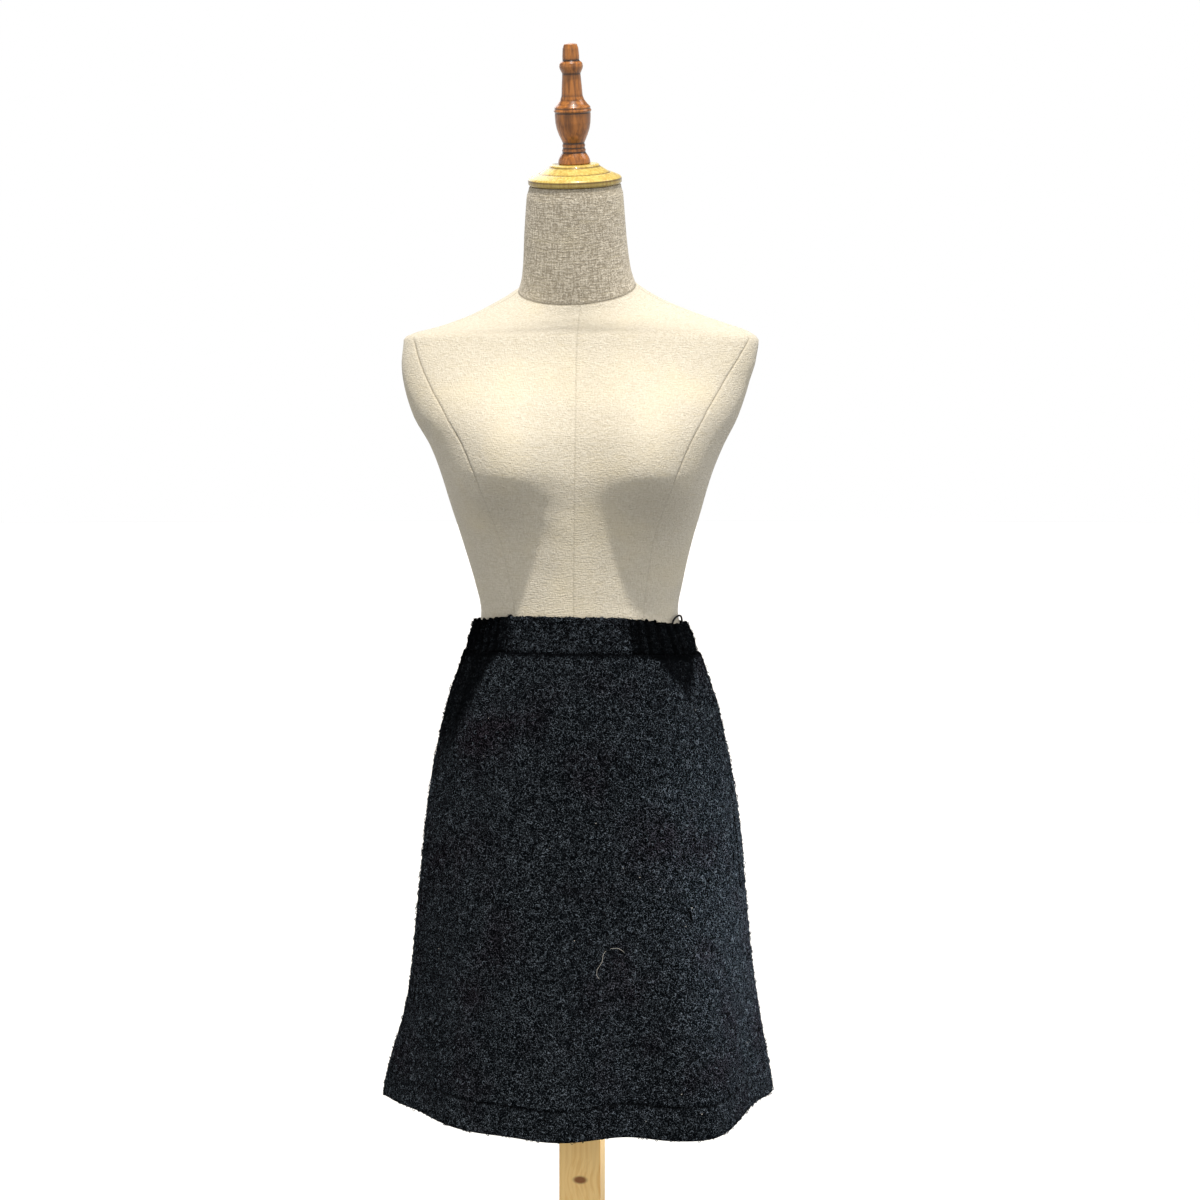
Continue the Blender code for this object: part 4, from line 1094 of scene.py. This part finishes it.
def add_curls(name, grids, count, seed):
    """Arcs p = c + r (sin a * t + cos a * w), where t lies in the cloth and w leans out of it.
    Each of the grids comes with its marks of painted shade and its share of the curls."""
    rng = np.random.default_rng(seed)
    sizes = np.array([painted_shade_and_grooves.size * share for _, painted_shade_and_grooves, share in grids])
    counts = (count * sizes / sizes.sum()).astype(int)
    spots = []
    for (grid, painted_shade_and_grooves, _), many in zip(grids, counts):
        row = rng.uniform(0, grid.shape[0] - 1, many)
        column = rng.uniform(0, grid.shape[1] - 1, many)
        # Painted shade: a curl is darkened by the cloth's mark under it
        lit = 1 - painted_shade_and_grooves[np.rint(row).astype(int), np.rint(column).astype(int)]
        spots.append((*on_grid(grid, row, column), lit))
    at, up, lit = (np.concatenate(parts) for parts in zip(*spots))
    total = len(at)
    level = unit(np.cross(up, rng.normal(size=(total, 3))))
    side = np.cross(up, level)
    tilt = np.radians(rng.uniform(35.0, 82.0, (total, 1)))
    out = up * np.cos(tilt) + side * np.sin(tilt)
    radius = rng.uniform(0.9, 1.9, (total, 1)) * MM
    sweep = np.radians(rng.uniform(200.0, 320.0, (total, 1)))
    phase = sweep * np.linspace(-0.5, 0.5, 6)
    centre = at + up * radius * np.cos(tilt) * 0.35
    paths = centre[:, None] + radius[:, :, None] * (level[:, None] * np.sin(phase)[..., None]
                                                    + out[:, None] * np.cos(phase)[..., None])
    thick = rng.uniform(0.26, 0.42, (total, 1)) * MM * np.array([0.6, 1.0, 1.15, 1.15, 1.0, 0.6])
    shade = rng.uniform(0.0, 1.0, (total, 1)) ** 3 * 0.65 * lit[:, None]
    return add_yarn(name, paths, np.cross(level, out)[:, None], thick, 3, shade)


front_curls = add_curls("front_curls", [(*front_cloth, 1.0)], 6100, 101)
back_curls = add_curls("back_curls", [(*back_cloth, 1.0)], 5600, 102)
band_curls = add_curls("band_curls", [(*band_front_cloth, 1.0), (*band_back_cloth, 0.42)], 2200, 103)

# %% [markdown]
# A few thicker places in the yarn, slubs, stand as short upright ticks, black all over as the
# painted shadow that each casts below itself. A few flecks are undyed, and a pale thread has come
# loose on the front, in two lengths. They are laid on the cloth by angle and by share of the way
# down, so they follow its folds.

# %% Slubs, flecks and the loose thread
def on_skirt(places, lift):
    """Points (angle, share of the way down) on the skirt's outer face, lifted off it."""
    spots = np.array(places, float)
    shape = spots.shape[:-1]
    spots = spots.reshape(-1, 2)
    angles, shares = np.radians(spots[:, 0]), spots[:, 1]
    at = skirt_surface(shares, angles, -lift)
    return at.reshape(*shape, 3)


rng = np.random.default_rng(201)
# Angle, share of the way down, length and radius in mm
SLUBS = ((-18.1, 0.520, 17, 1.0), (-24.1, 0.505, 10, 0.9), (16.2, 0.262, 8, 0.9), (26.0, 0.230, 8, 0.9),
         (12.0, 0.955, 8, 0.9), (45.6, 0.530, 14, 1.1), (4.7, 0.600, 6, 0.9))
more = [rng.uniform(low, high, 90) for low, high in ((0, 360), (0.08, 0.97), (4, 10), (0.5, 0.9))]
slub_rows = np.concatenate([np.array(SLUBS), np.stack(more, axis=1)])
steps = np.linspace(0.0, 1.0, 6)
slub_places = np.stack([slub_rows[:, :1] + 0.25 * np.sin(7 * steps + slub_rows[:, 1:2] * 40),
                        slub_rows[:, 1:2] + slub_rows[:, 2:3] * MM / PANEL_LENGTH * steps], axis=-1)
slub_paths = on_skirt(slub_places, 0.7 * MM)
slub_thick = slub_rows[:, 3:] * MM * np.array([0.25, 0.8, 1.0, 1.0, 0.8, 0.25])
# Shade 0 makes the slubs black: painted shadow on real thicker yarn
slubs_in_painted_shadow = add_yarn("slubs_in_painted_shadow", slub_paths, slub_paths[:, :1] * (1, 1, 0), slub_thick, 6,
                 np.zeros(len(slub_rows)))

# Angle and share of the way down
FLECKS = ((27.2, 0.4625), (34.5, 0.485), (4.8, 0.592), (46.2, 0.528))
flecks_more = np.stack([rng.uniform(0, 360, 40), rng.uniform(0.02, 0.98, 40)], axis=1)
fleck_rows = np.concatenate([np.array(FLECKS), flecks_more])
fleck_places = fleck_rows[:, None] + np.stack([np.linspace(-0.12, 0.12, 4),
                                               np.linspace(0.001, -0.001, 4)], axis=-1)
fleck_paths = on_skirt(fleck_places, 0.95 * MM)
fleck_thick = rng.uniform(0.2, 0.42, (len(fleck_rows), 1)) * MM * np.array([0.4, 1.0, 1.0, 0.4])
flecks = add_yarn("flecks", fleck_paths, fleck_paths[:, :1] * (1, 1, 0), fleck_thick, 4,
                  rng.uniform(0.86, 1.0, len(fleck_rows)))

THREAD = ((12.7, 0.673), (11.9, 0.664), (12.0, 0.655), (13.0, 0.645), (13.8, 0.636), (14.0, 0.626),
          (15.0, 0.617), (16.5, 0.6125), (18.5, 0.6115), (20.0, 0.615), (21.0, 0.620))
run = np.stack([np.linspace(0.0, 0.60, 40), np.linspace(0.70, 1.0, 40)])
knots = np.linspace(0, 1, len(THREAD))
thread_places = np.stack([monotone(knots, np.array(THREAD)[:, k], run) for k in (0, 1)], axis=-1)
thread_path = on_skirt(thread_places, 1.0 * MM)
loose_thread = add_yarn("loose_thread", thread_path, np.array([[[0.0, -1.0, 0.0]]]),
                        0.19 * MM * np.ones((2, 40)), 5, np.full(2, 0.9))

# %% [markdown]
# ## Hanging loop
#
# A short round cord is sewn inside the band at both ends, and stands a little under a centimetre
# above it at the wearer's left. It is one tube along a half wave, with a fine twist in its bump.

# %% Hanging loop
cord_finish, add, skin, place = start_material("black_cord", 0.7, Specular_IOR_Level=0.15)
strand = add("TexWave", {"Vector": place, "Scale": 1 / (2.2 * MM), "Distortion": 1.0},
             wave_type="BANDS", bands_direction="DIAGONAL").outputs["Fac"]
colour = add("Mix", {0: strand, 6: "#040506", 7: "#17191b"}, data_type="RGBA")
relief = add("Bump", {"Height": strand, "Strength": 0.5, "Distance": 0.2 * MM})
feed(skin, {"Base Color": colour, "Normal": relief})

share = np.linspace(0.0, 1.0, 60)
first, last = np.radians(LOOP_ANGLES)
loop_angles = first + (last - first) * (0.5 - 0.5 * np.cos(math.pi * share))
loop_path = band_surface(1.0, loop_angles, -(LOOP_CORD / 2 + SEAM_GAP))
loop_path[:, 2] += (LOOP_TAIL + LOOP_RISE) * np.sin(math.pi * share) ** 0.7 - LOOP_TAIL
loop_up = np.array([[[math.cos(0.9), -math.sin(0.9), 0.0]]])
points, faces = tubes(loop_path[None], loop_up, LOOP_CORD / 2 * np.ones((1, 60)), 10)
add_piece("loop_cord", points, faces, cord_finish, ["hanger_loop"])
print("cord of the loop:", round(float(steps_of(loop_path).sum()), 4), "m")

# %% [markdown]
# ## What was cut
#
# Half the surface of each visible sheet's closed wall is printed, as the cloth that it takes. The
# form under its cover is padded tight.

def cloth_area(piece):
    """Half the surface of a closed sheet, in square metres."""
    mesh = piece.data
    areas = np.empty(len(mesh.polygons))
    mesh.polygons.foreach_get("area", areas)
    return areas.sum() / 2


for piece in (front_panel, back_panel, band_front, band_back, form_cover):
    print(piece.name, "cloth", round(cloth_area(piece), 4), "m2")

# %% [markdown]
# ## Floor and light
#
# A plain pale studio. The photograph's main light stands high in front, a little to the wearer's
# left: it whitens the shoulders and leaves clear shade under the bust. A sun lamp with a small disc
# does that over the whole floor, and four wide ones fill in from the sides, the front and the back.
# A softbox with a grid lights the skirt's side at the wearer's left, and stays out of the picture.
# The world is white at the horizon and dimmer above and below. The floor shows white, but sends no
# light of its own back up, or it would fill the shade. The standard view keeps the photograph's
# plain contrast.

# %% Stage
scene = bpy.context.scene
scene.view_settings.view_transform = "Standard"
scene.view_settings.look = "None"

FLOOR_RADIUS = 60.0
turn = np.linspace(0.0, 2 * math.pi, 96, endpoint=False)
rim = FLOOR_RADIUS * np.stack([np.cos(turn), np.sin(turn), 0 * turn], 1)
edge = 1 + np.arange(96)
floor_faces = np.stack([0 * edge, edge, np.roll(edge, -1)], 1)
floor_mesh = bpy.data.meshes.new("floor")
floor_mesh.from_pydata([(0.0, 0.0, 0.0), *rim.tolist()], [], floor_faces.tolist())
floor_finish, add, skin, place = start_material("matt_white_floor", 0.9, Specular_IOR_Level=0.1)
cloud = add("TexNoise", {"Vector": place, "Scale": 0.7})
feed(skin, {"Base Color": add("Mix", {0: cloud, 6: "#c6c6c4", 7: "#cacac9"}, data_type="RGBA")})
floor_mesh.materials.append(floor_finish)
floor = bpy.data.objects.new("floor", floor_mesh)
scene.collection.objects.link(floor)
floor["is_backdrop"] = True
floor.visible_diffuse = False

world = bpy.data.worlds.new("studio")
world.use_nodes = True
scene.world = world
add = partial(put, world.node_tree)
split = add("SeparateXYZ", {0: add("TexCoord", {}).outputs["Generated"]})
tall = add("Math", {0: split.outputs["Z"]}, operation="ABSOLUTE")
glow = add("MapRange", {"Value": tall, "From Min": 0.22, "From Max": 0.5, "To Min": 1.0,
                        "To Max": 0.28}, interpolation_type="SMOOTHSTEP")
feed(world.node_tree.nodes["Background"], {"Color": "#ffffff", "Strength": glow})


def add_sun(name, elevation, azimuth, strength, disc, colour):
    """A sun lamp at an elevation above the horizon, azimuth degrees round from the front towards
    +X. Its disc is the angle that it covers, which sets how soft the shade's edge is."""
    data = bpy.data.lights.new(name, "SUN")
    data.energy, data.angle = strength, math.radians(disc)
    data.color = linear(colour)[:3]
    light = bpy.data.objects.new(name, data)
    light.rotation_euler = (math.radians(90.0 - elevation), 0.0, math.radians(azimuth))
    scene.collection.objects.link(light)


for row in (("key", 67.0, 6.0, 5.2, 3.0, "#fffaf3"), ("side", 42.0, 92.0, 0.8, 25.0, "#f4f7ff"),
            ("front", 12.0, 25.0, 0.45, 60.0, "#ffffff"),
            ("far_side", 25.0, -65.0, 0.35, 60.0, "#fffdf8"),
            ("back", 35.0, 200.0, 0.9, 40.0, "#f6f8ff")):
    add_sun(*row)
softbox_lamp = bpy.data.lights.new("softbox", "AREA")
softbox_lamp.shape, softbox_lamp.size, softbox_lamp.size_y = "RECTANGLE", 0.30, 0.35
softbox_lamp.spread, softbox_lamp.energy = math.radians(20.0), 1.3
softbox_lamp.color = linear("#f8faff")[:3]
softbox = bpy.data.objects.new("softbox", softbox_lamp)
softbox.location = (1.15, 0.10, 0.74)
aim = Vector((0.12, 0.0, 0.74)) - softbox.location
softbox.rotation_euler = aim.to_track_quat("-Z", "Y").to_euler()
softbox.visible_camera = False
scene.collection.objects.link(softbox)
print("lights placed")

# %% [markdown]
# ## Check the size
#
# The box of the dressed model is compared with the solids' box, and how far it grows is printed, in
# millimetres.

# %% Size
shown_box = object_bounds()
growth = (np.array(shown_box) - np.array(cad_box)) / MM
print("box grows by, in mm:", growth.round(1).tolist())
